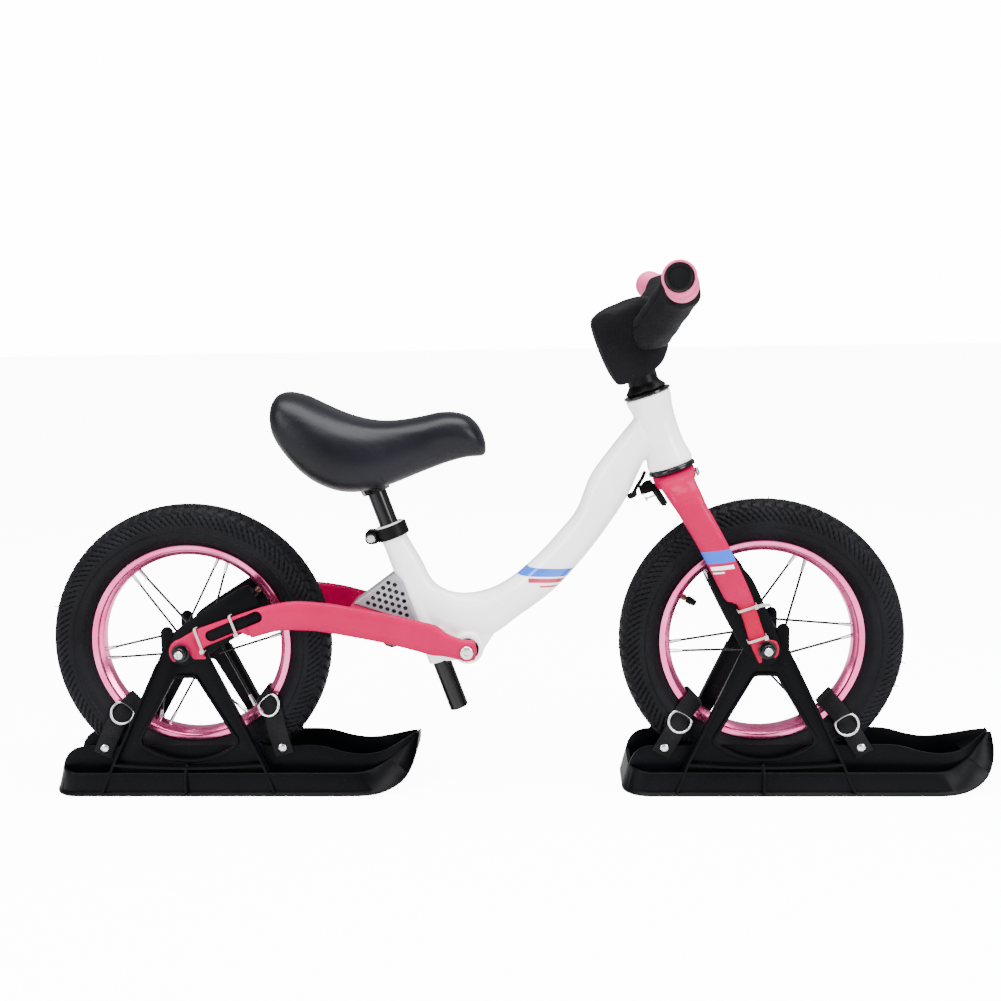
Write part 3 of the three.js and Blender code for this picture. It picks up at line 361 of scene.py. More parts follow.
FINISH = {
    "white": pearl_white(),
    "pink": coral_pink(),
    "fork": fork_pink(),
    "rim": surface("anodised_rim", ((0.72, 0.08, 0.26), (0.86, 0.18, 0.4), 30),
                   (0.12, 0.26, 400, 3, (1, 12, 1)), (0.00004, 0.1, 350, 2, (1, 10, 1)), Metallic=0.95),
    "satin": satin_black("satin_black", (0.0011, 0.0011, 0.0014), 900, 0.09),
    "plastic": satin_black("moulded_plastic", (0.0006, 0.00065, 0.0011), 700, 0.055),
    "rubber": satin_black("soft_rubber", (0.0009, 0.0009, 0.0011), 1100, 0.08),
    "gloss": surface("black_gloss", ((0.001, 0.001, 0.0014), (0.004, 0.004, 0.005), 20), (0.16, 0.32, 60, 5),
                     (0.00005, 0.2, 500, 2), Coat_Weight=0.15, Coat_Roughness=0.06, Specular_IOR_Level=0.16),
    "tyre": surface("tyre_rubber", ((0.0011, 0.0011, 0.0018), (0.0038, 0.0038, 0.0056), 22, 6),
                    (0.45, 0.7, 70, 5), (0.00015, 0.4, 1200, 3), Specular_IOR_Level=0.09),
    "steel": surface("bright_steel", ((0.52, 0.52, 0.54), (0.7, 0.7, 0.72), 120),
                     (0.16, 0.36, 300, 4, (1, 8, 1)), (0.00004, 0.25, 900, 2), Metallic=1.0),
    "brass": surface("brass_valve", ((0.05, 0.02, 0.016), (0.11, 0.05, 0.04), 200, 3), None,
                     (0.00005, 0.3, 900, 2), Metallic=1.0, Roughness=0.35),
    "foam": surface("silver_foam", ((0.2, 0.195, 0.225), (0.29, 0.285, 0.315), 60, 5), (0.34, 0.52, 200),
                    (0.0001, 0.4, 1500, 3), Metallic=0.2),
    "hide": saddle_hide(),
    "cloth": pad_cloth(),
    "webbing": webbing_cloth(),
    "grip": surface("grip_rubber", ((0.56, 0.05, 0.17), (0.66, 0.09, 0.24), 30, 5), (0.38, 0.55, 120),
                    (0.0001, 0.35, 1400, 3), Subsurface_Weight=0.05, Specular_IOR_Level=0.35),
    "nylon": surface("clear_nylon", ((0.42, 0.41, 0.385), (0.56, 0.55, 0.52), 90), None,
                     (0.00005, 0.3, 800, 3), Roughness=0.3, Transmission_Weight=0.3),
}


# Places

def bike_point(x, y, z):
    return MIDDLE + MM * Vector((x, y, z))


def steering_point(x, y, z):
    """About the steering axis: x forward of it, z up along it from the crown's seat."""
    return CROWN + MM * (x * FORWARD + Vector((0, y, 0)) + z * STEERER)


def about(axle):
    return lambda x, y, z: axle + MM * Vector((x, y, z))


def seat_point(distance):
    """Down the seat tube's middle line from its top."""
    return bike_point(*SEAT_TOP) - MM * distance * POST


def polar(radius, degrees):
    angle = math.radians(degrees)
    return radius * math.cos(angle), radius * math.sin(angle)


def arc(cx, cz, radius, start, end, steps):
    turn = [start + (end - start) * k / steps for k in range(steps + 1)]
    return [(cx + polar(radius, a)[0], cz + polar(radius, a)[1]) for a in turn]


def mixed(a, b, share):
    return a + (b - a) * share


def eased(value, low, high):
    share = min(1.0, max(0.0, (value - low) / (high - low)))
    return share * share * (3 - 2 * share)


def through(points, count):
    """Evenly spaced points on a smooth curve through the given ones."""
    given = [Vector(p) for p in points]
    padded = [2 * given[0] - given[1], *given, 2 * given[-1] - given[-2]]
    fine = []
    for a, b, c, d in zip(padded, padded[1:], padded[2:], padded[3:]):
        for k in range(16):
            t = k / 16
            fine.append(0.5 * (2 * b + (c - a) * t + (2 * a - 5 * b + 4 * c - d) * t ** 2
                               + (3 * b - a - 3 * c + d) * t ** 3))
    fine.append(given[-1])
    far = [0.0]
    for a, b in zip(fine, fine[1:]):
        far.append(far[-1] + (b - a).length)
    result, k = [], 0
    for n in range(count):
        target = far[-1] * n / (count - 1)
        while k < len(far) - 2 and far[k + 1] < target:
            k += 1
        span = far[k + 1] - far[k]
        result.append(fine[k].lerp(fine[k + 1], min(1.0, (target - far[k]) / max(span, 1e-9))))
    return result


def closed(points, count):
    """A smooth closed outline through the given corners."""
    return through([*points, points[0]], count)[:-1]


def headings(path):
    """The way that a path of places points at each of them."""
    ahead = [*path[1:], path[-1]]
    behind = [path[0], *path[:-1]]
    return [(after - before).normalized() for before, after in zip(behind, ahead)]


def squircle(count, wide, high):
    """A round outline whose sides grow flatter as the two powers grow smaller."""
    outline = []
    for n in range(count):
        c, s = math.cos(2 * math.pi * n / count), math.sin(2 * math.pi * n / count)
        outline.append((math.copysign(abs(c) ** wide, c), math.copysign(abs(s) ** high, s)))
    return outline


# Ways of working

def deselect():
    if bpy.context.mode != "OBJECT":
        bpy.ops.object.mode_set(mode="OBJECT")
    bpy.ops.object.select_all(action="DESELECT")


def only(piece):
    deselect()
    piece.select_set(True)
    bpy.context.view_layer.objects.active = piece
    return piece


def called(name):
    piece = bpy.context.object
    piece.name = name
    piece.data.name = name
    return piece


def edit_mesh(piece):
    mesh = bmesh.from_edit_mesh(piece.data)
    mesh.verts.ensure_lookup_table()
    return mesh


def drawn(name, points, fill="NOTHING"):
    """A closed outline: a circle with a vertex for each point, moved to its places."""
    deselect()
    bpy.ops.mesh.primitive_circle_add(vertices=len(points), fill_type=fill, enter_editmode=True)
    piece = called(name)
    mesh = edit_mesh(piece)
    for vertex, point in zip(mesh.verts, points):
        vertex.co = point
    bmesh.update_edit_mesh(piece.data)
    bpy.ops.mesh.select_all(action="SELECT")
    return piece


def lofted(name, rings):
    """A closed skin: the first section is drawn, then extruded to each next one."""
    piece = drawn(name, rings[0], "NGON")
    front = list(edit_mesh(piece).verts)
    for ring in rings[1:]:
        bpy.ops.mesh.extrude_region_move()
        mesh = edit_mesh(piece)
        mesh.verts.index_update()
        front = [mesh.verts[v.index] for v in front]
        front = [next(e.other_vert(v) for e in v.link_edges if e.other_vert(v).select) for v in front]
        for vertex, point in zip(front, ring):
            vertex.co = point
        bmesh.update_edit_mesh(piece.data)
    return sound(piece)


def sound(piece):
    """Merged, with its faces pointing out."""
    only(piece)
    bpy.ops.object.mode_set(mode="EDIT")
    bpy.ops.mesh.select_all(action="SELECT")
    bpy.ops.mesh.remove_doubles(threshold=1e-6)
    bpy.ops.mesh.normals_make_consistent(inside=False)
    bpy.ops.object.mode_set(mode="OBJECT")
    return piece


def spun(name, profile, centre, axis, steps, start=None):
    """A section turned about an axis; its points are (along the axis, radius)."""
    along = Vector(axis).normalized()
    out = (start or Vector((0.31, 0.17, 0.93))).cross(along).normalized()
    points = [centre + MM * (a * along + r * out) for a, r in profile]
    piece = drawn(name, points)
    if profile[0][1] == 0 and profile[-1][1] == 0:
        mesh = edit_mesh(piece)
        first, last = mesh.verts[0], mesh.verts[len(points) - 1]
        closing = [e for e in first.link_edges if e.other_vert(first) == last]
        bmesh.ops.delete(mesh, geom=closing, context="EDGES_FACES")
        bmesh.update_edit_mesh(piece.data)
        bpy.ops.mesh.select_all(action="SELECT")
    bpy.ops.mesh.spin(steps=steps, angle=2 * math.pi, center=centre, axis=along)
    return sound(piece)


def plate(name, outline, place, low, high, holes=()):
    """A flat outline in x and z, with holes, thick from y = low to y = high."""
    piece = drawn(name, [place(x, low, z) for x, z in outline])
    for hole in holes:
        bpy.ops.mesh.select_all(action="DESELECT")
        before = len(edit_mesh(piece).verts)
        bpy.ops.mesh.primitive_circle_add(vertices=len(hole))
        mesh = edit_mesh(piece)
        for vertex, (x, z) in zip(mesh.verts[before:], hole):
            vertex.co = place(x, low, z)
        bmesh.update_edit_mesh(piece.data)
    bpy.ops.mesh.select_all(action="SELECT")
    if holes:
        bpy.ops.mesh.fill(use_beauty=True)
        bpy.ops.mesh.select_all(action="SELECT")
        bpy.ops.mesh.dissolve_limited(angle_limit=math.radians(1))
    else:
        bpy.ops.mesh.edge_face_add()
    bpy.ops.mesh.select_all(action="SELECT")
    step = place(0, high, 0) - place(0, low, 0)
    bpy.ops.mesh.extrude_region_move(TRANSFORM_OT_translate={"value": step})
    return sound(piece)


def bar(name, start, end, radius, sides=32, end_radius=None):
    """A round bar between two places, with radii in millimetres."""
    length = (end - start).length / MM
    profile = [(0, 0), (0, radius), (length, end_radius or radius), (length, 0)]
    return spun(name, profile, start, end - start, sides)


def cross_bar(name, place, half, radius, sides):
    """A round bar across the bike, through a place in its middle plane."""
    across = Vector((0, half * MM, 0))
    return bar(name, place - across, place + across, radius, sides)


def rod(name, start, end, radius):
    """A round bar with domed ends."""
    length = (end - start).length / MM
    dome = [(radius * (1 - math.cos(a)), radius * math.sin(a)) for a in (k * math.pi / 12 for k in range(7))]
    profile = dome + [(length - a, r) for a, r in reversed(dome)]
    return spun(name, profile, start, end - start, 28)


def block(name, centre, size):
    """A box; its centre is a place in metres, its size is in millimetres."""
    deselect()
    bpy.ops.mesh.primitive_cube_add(size=1, location=centre)
    piece = called(name)
    piece.dimensions = MM * Vector(size)
    bpy.ops.object.transform_apply(location=True, rotation=True, scale=True)
    return piece


def joined(name, parts):
    deselect()
    for part in parts:
        part.select_set(True)
    bpy.context.view_layer.objects.active = parts[0]
    if len(parts) > 1:
        bpy.ops.object.join()
    return called(name)


def apply(piece, kind, **settings):
    only(piece)
    modifier = piece.modifiers.new(kind.lower(), kind)
    for key, value in settings.items():
        setattr(modifier, key, value)
    bpy.ops.object.modifier_apply(modifier=modifier.name)
    return piece


def soft_edges(piece, width, segments=2, angle=35):
    apply(piece, "BEVEL", width=width * MM, segments=segments, limit_method="ANGLE",
          angle_limit=math.radians(angle), use_clamp_overlap=True)
    return piece


def shaded(piece, angle=35):
    only(piece)
    bpy.ops.object.shade_smooth_by_angle(angle=math.radians(angle))
    return piece


def moulded(name, parts, voxel, passes, cutters=()):
    """Parts grown into one casting with soft fillets, then bored."""
    piece = joined(name, parts)
    apply(piece, "REMESH", mode="VOXEL", voxel_size=voxel * MM, use_smooth_shade=True)
    apply(piece, "SMOOTH", factor=0.5, iterations=passes)
    for cutter in cutters:
        cut(piece, cutter)
    return shaded(piece, 50)


def cut(piece, cutter):
    apply(piece, "BOOLEAN", operation="DIFFERENCE", object=cutter, solver="EXACT")
    bpy.data.objects.remove(cutter)
    return piece


def mirrored(piece, name):
    """The same piece on the rider's other side."""
    only(piece)
    bpy.ops.object.duplicate()
    copy = called(name)
    bpy.ops.transform.resize(value=(1, -1, 1), center_override=(0, 0, 0))
    bpy.ops.object.transform_apply(location=True, rotation=True, scale=True)
    return sound(copy)


def finish_piece(piece, look, body, slot, *nodes):
    """Painted, on its body, and standing for the nodes of the model that it replaces."""
    piece.data.materials.clear()
    piece.data.materials.append(FINISH[look])
    if body:
        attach(piece, body)
    if nodes:
        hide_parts(*nodes)
    return piece


def dress(node_name, look):
    """A finish for a solid of the model that is shown as it is."""
    for slot in bpy.data.objects[node_name].material_slots:
        slot.material = FINISH[look]


# Wheels

def spoke_line(angle, side, start, end):
    """Two places on a spoke, as shares of the way from the hub's flange to the rim's bed."""
    lead = 62
    hub_x, hub_z = polar(HUB_FLANGE - 3, angle + side * lead)
    rim_x, rim_z = polar(RIM_BED + 0.5, angle)
    hub_end = Vector((hub_x, side * (HUB_FLANGE_AT + 1.2), hub_z))
    rim_end = Vector((rim_x, side * 1.5, rim_z))
    return hub_end.lerp(rim_end, start), hub_end.lerp(rim_end, end)


def spoke_angles(phase):
    for pair in range(SPOKE_PAIRS):
        for side in (1, -1):
            yield phase + pair * 360 / SPOKE_PAIRS + side * SPOKE_SPREAD, side


def tyre_section():
    """Half of the tyre's section from the bead out to the crown, as (across, radius)."""
    wall = through([(8.2, 105.6), (11.4, 109), (19.2, 116), (23.6, TYRE_MIDDLE)], 9)
    shoulder = through([(23.6, TYRE_MIDDLE), (24, 131), (21.6, 139), (17.5, 144.4), (11.5, 148.2), (5, 149.9),
                        (0, 150.2)], 27)
    return wall + shoulder[1:]


def tread_depth(turn, across, radius):
    """How far a place on the tread lies under its blocks.

    Slanted lamellae on the shoulders meet zigzag blocks over the crown, parted by one ring a side.
    """
    deepest, crown_end, tread_end, section_radius = 1.8, 19.5, 37, 24.5
    side = math.atan2(abs(across), radius - TYRE_MIDDLE) * section_radius
    if side > tread_end:
        return 0.0
    far = turn * TYRE_RADIUS
    shift = 0.5 if across > 0 else 0.0
    if side > crown_end:
        pitch = TYRE_ROUND / 125
        phase = (far + 0.95 * side) / pitch + shift
        groove = 1 - eased(abs(phase - round(phase)) * pitch, 0.55, 1.25)
        groove *= 1 - eased(side, tread_end - 4, tread_end)
    else:
        pitch = TYRE_ROUND / 75
        fold = abs((side / 6.5 + 0.5) % 2 - 1)
        phase = (far + 6 * fold) / pitch + shift
        groove = 1 - eased(abs(phase - round(phase)) * pitch, 0.9, 1.8)
    ring = 1 - eased(abs(side - crown_end - 1.1 * math.sin(far * 0.5)), 0.5, 1.3)
    middle = 1 - eased(side, 0.5, 1.3)
    return deepest * max(groove, 0.8 * ring, 0.6 * middle)


def tyre(prefix, axle, body):
    half = tyre_section()
    inner = [(-5.5, 106), (-19.5, 130), (-8, 143.5), (8, 143.5), (19.5, 130), (5.5, 106)]
    outer = half + [(-a, r) for a, r in reversed(half[:-1])]
    steps, inner_radius = 900, 21.5
    piece = spun(f"{prefix}_tyre_cover", outer + inner, axle, (0, 1, 0), steps)
    for vertex in piece.data.vertices:
        local = (vertex.co - axle) / MM
        radius = math.hypot(local.x, local.z)
        above = radius - TYRE_MIDDLE
        if math.hypot(local.y, above) > inner_radius and above > -2:
            depth = tread_depth(math.atan2(local.z, local.x), local.y, radius)
            lift = Vector((local.x / radius * above, local.y, local.z / radius * above))
            vertex.co -= lift.normalized() * depth * MM
    ribs = []
    for a, r in ((14.6, 112.4), (22.6, 124)):
        for side in (-1, 1):
            ridge = [(side * a, r - 1.1), (side * (a + 1.0), r), (side * a, r + 1.1)]
            ribs.append(spun("rib", ridge, axle, (0, 1, 0), 96))
    whiskers = []
    chance = random.Random(7 if prefix == "front" else 11)
    for k in range(7):
        turn = chance.uniform(0, 360)
        across = chance.choice([-1, 1]) * chance.uniform(10, 15)
        (x, z), (tip_x, tip_z) = polar(144, turn), polar(151.6, turn + chance.uniform(-1, 1))
        whiskers.append(bar(f"{prefix}_whisker_{k}", about(axle)(x, across, z),
                            about(axle)(tip_x, across * 1.1, tip_z), 0.9, 6, 0.45))
    piece = joined(f"{prefix}_tyre_cover", [shaded(piece, 40), *ribs, *whiskers])
    finish_piece(piece, "tyre", body, "tyre", f"{prefix}_tyre")


def rim(prefix, axle, phase, body):
    flange = [(2.2, 0.6), (1.2, 0), (0.2, 0.5), (0, 1.6), (0.5, 4), (0.3, 6.2), (1.1, 7), (2.6, 7.6)]
    half = [(RIM_HALF - in_from_side, RIM_FLANGE - under) for in_from_side, under in flange]
    half += [(8.2, 98.6), (6.4, RIM_BED + 0.5), (3, RIM_BED)]
    well = [(-6, 100.5), (-10, 105), (10, 105), (6, 100.5)]
    section = half + [(-a, r) for a, r in reversed(half)] + well
    hoop = shaded(spun(f"{prefix}_rim_hoop", section, axle, (0, 1, 0), 144), 30)
    finish_piece(hoop, "rim", body, "pink_rim", f"{prefix}_rim")
    nipples = []
    for angle, side in spoke_angles(phase):
        start, end = spoke_line(angle, side, 0.86, 1.0)
        nipples.append(bar(f"{prefix}_nipple", axle + MM * start, axle + MM * end, 1.7, 10, 2.2))
    nipples = joined(f"{prefix}_nipples", [shaded(piece) for piece in nipples])
    finish_piece(nipples, "steel", body, "steel")


def hub(prefix, axle, phase, body):
    at, high = HUB_FLANGE_AT, HUB_FLANGE
    half = [
        (0, 12.4), (at - 4, 12.8), (at - 1.8, 15), (at - 1.4, high - 0.6), (at, high), (at + 1.4, high - 0.6),
        (at + 1.8, 16), (28.6, 14.6), (30, 13.4), (30, 11.2), (22, 11), (22, 7),
    ]
    shell = shaded(spun(f"{prefix}_hub_shell", half + [(-a, r) for a, r in reversed(half[1:])],
                        axle, (0, 1, 0), 48))
    spokes = []
    for angle, side in spoke_angles(phase):
        start, end = spoke_line(angle, side, 0, 0.9)
        spokes.append(bar(f"{prefix}_spoke", axle + MM * start, axle + MM * end, 1.3, 10))
    whole = joined(f"{prefix}_hub_and_spokes", [shell, *[shaded(piece) for piece in spokes]])
    finish_piece(whole, "gloss", body, "black_paint", f"{prefix}_hub")


def inner_tube(prefix, axle, valve_at, body):
    """The tube's ring, and its valve that points at the hub with a black cap on."""
    ring = arc(0, TYRE_MIDDLE, 13, 0, 360, 15)[:-1]
    tube = shaded(spun(f"{prefix}_tube_ring", ring, axle, (0, 1, 0), 72), 60)
    finish_piece(tube, "rubber", body, "tube_rubber", f"{prefix}_inner_tube")

    def at(radius):
        x, z = polar(radius, valve_at)
        return about(axle)(x, 0, z)

    inward = at(0) - at(1)
    pipe = [(0, 0), (0, 3.2), (17, 3.2), (17.6, 2.4), (19, 2.4), (19.6, 3.1), (23, 3.0), (23, 0)]
    valve = spun(f"{prefix}_valve", pipe, at(108), inward, 20)
    finish_piece(shaded(valve), "brass", body, "steel")
    bell = [(0, 0), (0, 3.7), (0.8, 4.1), (6, 3.9), (9.6, 3.3), (10.6, 2.2), (11, 0)]
    cap = spun(f"{prefix}_valve_cap", bell, at(89), inward, 24)
    finish_piece(shaded(cap), "rubber", body, "tube_rubber")


def axle_nut(prefix, axle, side, seat, body):
    """A blackened nut with a round collar on its washer, and the axle's bright socketed end."""
    centre, out = axle + Vector((0, side * seat * MM, 0)), (0, side, 0)
    label = "left" if side > 0 else "right"
    disc = [(0.3, 0), (0.3, 9.2), (0.6, 9.5), (1.5, 9.5), (1.8, 9.1), (1.8, 0)]
    washer = spun("washer", disc, centre, out, 40)
    deselect()
    bpy.ops.mesh.primitive_cylinder_add(
        vertices=6, radius=7.7 * MM, depth=5 * MM, location=centre + Vector((0, side * 4.2 * MM, 0)),
        rotation=(math.pi / 2, 0.3, 0),
    )
    hexagon = called("hexagon")
    bpy.ops.object.transform_apply(location=True, rotation=True, scale=True)
    soft_edges(hexagon, 0.5)
    round_top = [(6.4, 0), (6.4, 6.9), (7.6, 6.9), (8.3, 6.3), (8.4, 5.2), (7.2, 4.9), (7.2, 0)]
    collar = spun("collar", round_top, centre, out, 40)
    whole = joined(f"{prefix}_cap_nut_{label}", [shaded(piece) for piece in (washer, hexagon, collar)])
    finish_piece(whole, "gloss", body, "steel", f"{prefix}_axle_nut_{label}")
    socketed = [(6.8, 0), (6.8, 4.4), (9.6, 4.4), (10.2, 3.8), (10.2, 2.2), (8.8, 1.9), (8.8, 0)]
    end = spun(f"{prefix}_axle_end_{label}", socketed, centre, out, 36)
    finish_piece(shaded(end), "steel", body, "steel")


def wheel(prefix, axle, phase, valve_at, nut_seat, holder):
    body = f"{prefix}_wheel"
    tyre(prefix, axle, body)
    rim(prefix, axle, phase, body)
    hub(prefix, axle, phase, body)
    inner_tube(prefix, axle, valve_at, body)
    for side in SIDES.values():
        axle_nut(prefix, axle, side, nut_seat, holder)


# Skis

def hull_line():
    """Matching places along the ski's base edge and its rim, from the tail to the nose."""
    corner = 28
    base, rim_edge = [], []
    for k in range(9):
        angle = math.pi / 2 * k / 8
        ahead, narrowed = corner * (1 - math.cos(angle)), corner * (1 - math.sin(angle))
        left = 1 - ahead / corner
        base.append((-148 + ahead, 53 - narrowed, SOLE))
        rim_edge.append((-148 + ahead + 6 * left, 48 - narrowed, -132 + 3 * left))
    for k in range(1, 9):
        base.append((-120 + k * 30, 53, SOLE))
        rim_edge.append((-120 + k * 30, 48, -132))
    nose_base = through([(120, 53, SOLE), (150, 53, SOLE), (190, 52.5, -156.5), (211, 49.5, -152.5),
                         (228, 43, -143.5), (237, 35.5, -131), (241.5, 25, -117.5), (243, 12, -106)], 22)
    nose_rim = through([(120, 48, -132), (150, 48, -132), (184, 46, -132), (200, 37, -129),
                        (217, 24, -122), (229, 13, -113), (237, 7, -105.5), (241, 4, -101)], 22)
    return base + [tuple(p) for p in nose_base[1:]], rim_edge + [tuple(p) for p in nose_rim[1:]]


def both_sides(side, place):
    """A section's points on the left side and, mirrored, on the right one."""
    return [place(x, -y, z) for x, y, z in side] + [place(x, y, z) for x, y, z in reversed(side)]


def hull(place):
    """A tray of one wall's thickness, closed by a solid tail wall and a solid nose."""
    base, rim_edge = hull_line()
    solid, tray = [], []
    for (bx, bw, bz), (rx, rw, rz) in zip(base, rim_edge):
        outside = both_sides([
            (rx, rw - 1, rz + 0.3), (rx, rw, rz), (rx, rw + 0.6, rz - 1.2), (bx, bw - 4.5, bz + 5),
            (bx, bw - 0.8, bz + 3.6), (bx, bw, bz + 2.6), (bx, bw - 0.8, bz + 0.8), (bx, bw - 3, bz),
        ], place)
        solid.append(outside)
        high, low = (rx, max(rw - 4, 1), rz - 0.4), (bx, max(bw - 9, 1), bz + 5.5)
        tray.append(outside + list(reversed(both_sides([high, low], place))))
    nose = len(base) - 7
    parts = [lofted("tail_wall", solid[:4]), lofted("tray", tray[3:nose + 1]), lofted("nose", solid[nose:])]
    return joined("hull", [shaded(part, 55) for part in parts])


def window(grow, steps=6):
    top = -30 + grow
    half = arc(8, top - 6, 6, 90, 30, steps) + arc(42 + grow, -99, 8, 25, -62, steps)
    half += [(x, -119.5 + 0.0065 * x * x - 0.9 * grow) for x in (38, 31, 23, 15, 7)]
    return half + [(0, -119.5 - 0.9 * grow)] + [(-x, z) for x, z in reversed(half)]


def side_frame(place):
    """The A-shaped frame of one side with its window, its two prongs and the axle's slot."""
    top, prong = 6.5, 17.5
    slot, foot = prong - top, SOLE + 4.5
    right = [(0, foot), (94, foot), (91, -145), (82, -124), (67, -93), (47, -50), (24, -2)]
    right += arc(prong, 18.5, top, 0, 180, 10) + [(slot, 4)] + arc(0, 0, slot, -10, -70, 5)
    outline = right + [(0, -slot)] + [(-x, z) for x, z in reversed(right[1:])]
    flat = plate("side_plate", outline, place, PLATE_INNER, PLATE_OUTER, [window(0)])
    lip = plate("window_lip", window(4), place, PLATE_OUTER - 0.5, PLATE_OUTER + 1.8, [window(0)])
    return [shaded(soft_edges(flat, 0.7)), shaded(soft_edges(lip, 0.5))]


def rib(name, stations, place, thickness=3.0):
    """A thin rib that stands out from the frame; stations are (x, z, how far out it stands)."""
    root = PLATE_OUTER - 1
    rings = [
        [place(x, root, z), place(x - thickness, root, z), place(x - thickness, out, z), place(x, out, z)]
        for x, z, out in stations
    ]
    return shaded(soft_edges(lofted(name, rings), 0.5))


def cradle_wall(place):
    """The wall beside the tyre; its top dips before the nose and runs up to the nose's tip."""
    foot, middle, half = SOLE + 4.5, 28.7, 1.7
    stations = [
        (-143, middle, -146, foot), (-140, middle, -126, foot), (-132, middle, -114, foot),
        (-116, middle, -108.6, foot), (-60, middle, -108, foot), (20, middle, -108, foot),
        (90, middle, -108, foot), (130, middle, -108, foot), (146, middle, -110, foot),
        (163, middle, -115, foot), (184, middle, -118, foot), (204, 27, -115.5, -149.5),
        (218, 20, -110.5, -144), (230, 11, -105, -134), (239.5, 4, -101.5, -114),
    ]
    rings = []
    for x, y, top, low in through(stations, 56):
        inner, outer = y - half, y + half
        rings.append([place(x, inner, low), place(x, outer, low), place(x, outer, top), place(x, inner, top)])
    return shaded(soft_edges(lofted("cradle_wall", rings), 0.7))


def ski_half(place):
    """What stands on the left half of the hull."""
    parts = side_frame(place)
    edge = [(30, -14, 42.4), (47.5, -51, 44.5), (82, -124, 47.5), (94.5, -154.5, 52.6)]
    parts.append(rib("leg_rib_fore", edge, place))
    parts.append(rib("leg_rib_aft", [(-x, z, out) for x, z, out in edge], place, thickness=-3.0))
    parts.append(rib("middle_rib", [(-0.5, -124, 44.5), (-0.5, -132, 49.8), (-0.5, -155.3, 53.8)], place))
    upper = through([(-81, -122), (-40, -124.5), (0, -125.5), (40, -124.5), (81, -122)], 13)
    lower = [(x, z - 3) for x, z in reversed(upper)]
    parts.append(shaded(soft_edges(plate("shelf", upper + lower, place, PLATE_OUTER - 1, 47.6), 0.5)))
    parts.append(cradle_wall(place))
    return parts


def ski(prefix, axle, body):
    place = about(axle)
    left = joined("ski_left_half", ski_half(place))
    right = mirrored(left, "ski_right_half")
    piece = joined(f"{prefix}_ski_moulding", [hull(place), left, right])
    finish_piece(piece, "plastic", body, "black_plastic", f"{prefix}_ski")


LEVER_OUTLINE = [
    (-9, -13), (10, -16), (64, -17), (80.5, -14.7), (91, -9.9), (96.8, 2), (96.8, 13.7),
    (92.5, 24.3), (17, 23.5), (-1, 18), (-15, 8), (-16.5, -3),
]


def lever_plate(prefix, axle, degrees, label, body):
    """The long plate that stops a ski from turning, with softly rounded corners."""
    (ux, uz), (vx, vz) = polar(1, degrees), polar(1, degrees + 90)
    outline = [(u * ux + v * vx, u * uz + v * vz) for u, v in closed(LEVER_OUTLINE, 72)]
    hole = arc(0, 0, 5.7, 0, 360, 24)[:-1]
    low, high = sorted(SIDES[label] * y for y in (LEVER_INNER, LEVER_OUTER))
    piece = plate(f"{prefix}_lever_{label}", outline, about(axle), low, high, [hole])
    piece = shaded(soft_edges(piece, 0.6), 30)
    finish_piece(piece, "plastic", body, "black_plastic", f"{prefix}_lever_plate_{label}")


def tie(prefix, count, centre, degrees, half, face, label, body, tail=0):
    """A cable tie round a leg and the lever plate behind it, with its lock and tail."""
    side = SIDES[label]
    (ax, az), (ux, uz) = polar(1, degrees), polar(1, degrees - 90)
    along, across, out = Vector((ax, 0, az)), Vector((ux, 0, uz)), Vector((0, side, 0))

    def place(x, y, z):
        return centre + MM * (x * across + y * along + z * out)

    inner, width, thick, round_off = LEVER_INNER + 1.6, 2.6, 0.9, 2.2

    def loop(grow):
        x, low, high, radius = half + grow, inner - grow, face + grow, round_off + grow
        corners = [(x - radius, low + radius, -90), (x - radius, high - radius, 0),
                   (radius - x, high - radius, 90), (radius - x, low + radius, 180)]
        return [point for cx, cz, a in corners for point in arc(cx, cz, radius, a, a + 90, 4)]

    ribbon = plate("ribbon", loop(thick), place, -width / 2, width / 2, [loop(0)])
    lock_at = face + thick + 1.6
    lock = block("lock", (0, 0, 0), (4, 3.2, 4.4))
    turn = Matrix((across, out, along)).transposed().to_4x4()
    lock.data.transform(Matrix.Translation(place(half - 1, 0, lock_at)) @ turn)
    parts = [shaded(soft_edges(ribbon, 0.25)), shaded(soft_edges(lock, 0.6))]
    if tail:
        rings = []
        for share in (0, 0.35, 0.7, 1):
            x, y, z = half + 1.5 + tail * share, -0.25 * tail * share ** 2, lock_at - 1.5 * share
            rings.append([place(x, y + aside, z + lift)
                          for aside, lift in ((-1.6, -0.5), (1.6, -0.5), (1.6, 0.5), (-1.6, 0.5))])
        parts.append(shaded(lofted("tail", rings)))
    piece = joined(f"{prefix}_cable_tie_{count}_{label}", parts)
    finish_piece(piece, "nylon", body, "clear_plastic", f"{prefix}_tie_{count}_{label}")


def d_ring(centre, up, across, out):
    """A ring of round wire with one straight side, as on a bag's strap."""
    deselect()
    bpy.ops.mesh.primitive_torus_add(major_segments=40, minor_segments=10, major_radius=12 * MM,
                                     minor_radius=1.5 * MM)
    ring = called("d_ring")
    flat_side = -7 * MM
    for vertex in ring.data.vertices:
        if vertex.co.y < flat_side:
            vertex.co.y = flat_side + (vertex.co.y - flat_side) * 0.3
    turn = Matrix((across, up, out)).transposed().to_4x4()
    ring.data.transform(Matrix.Translation(centre) @ turn)
    return shaded(sound(ring), 60)


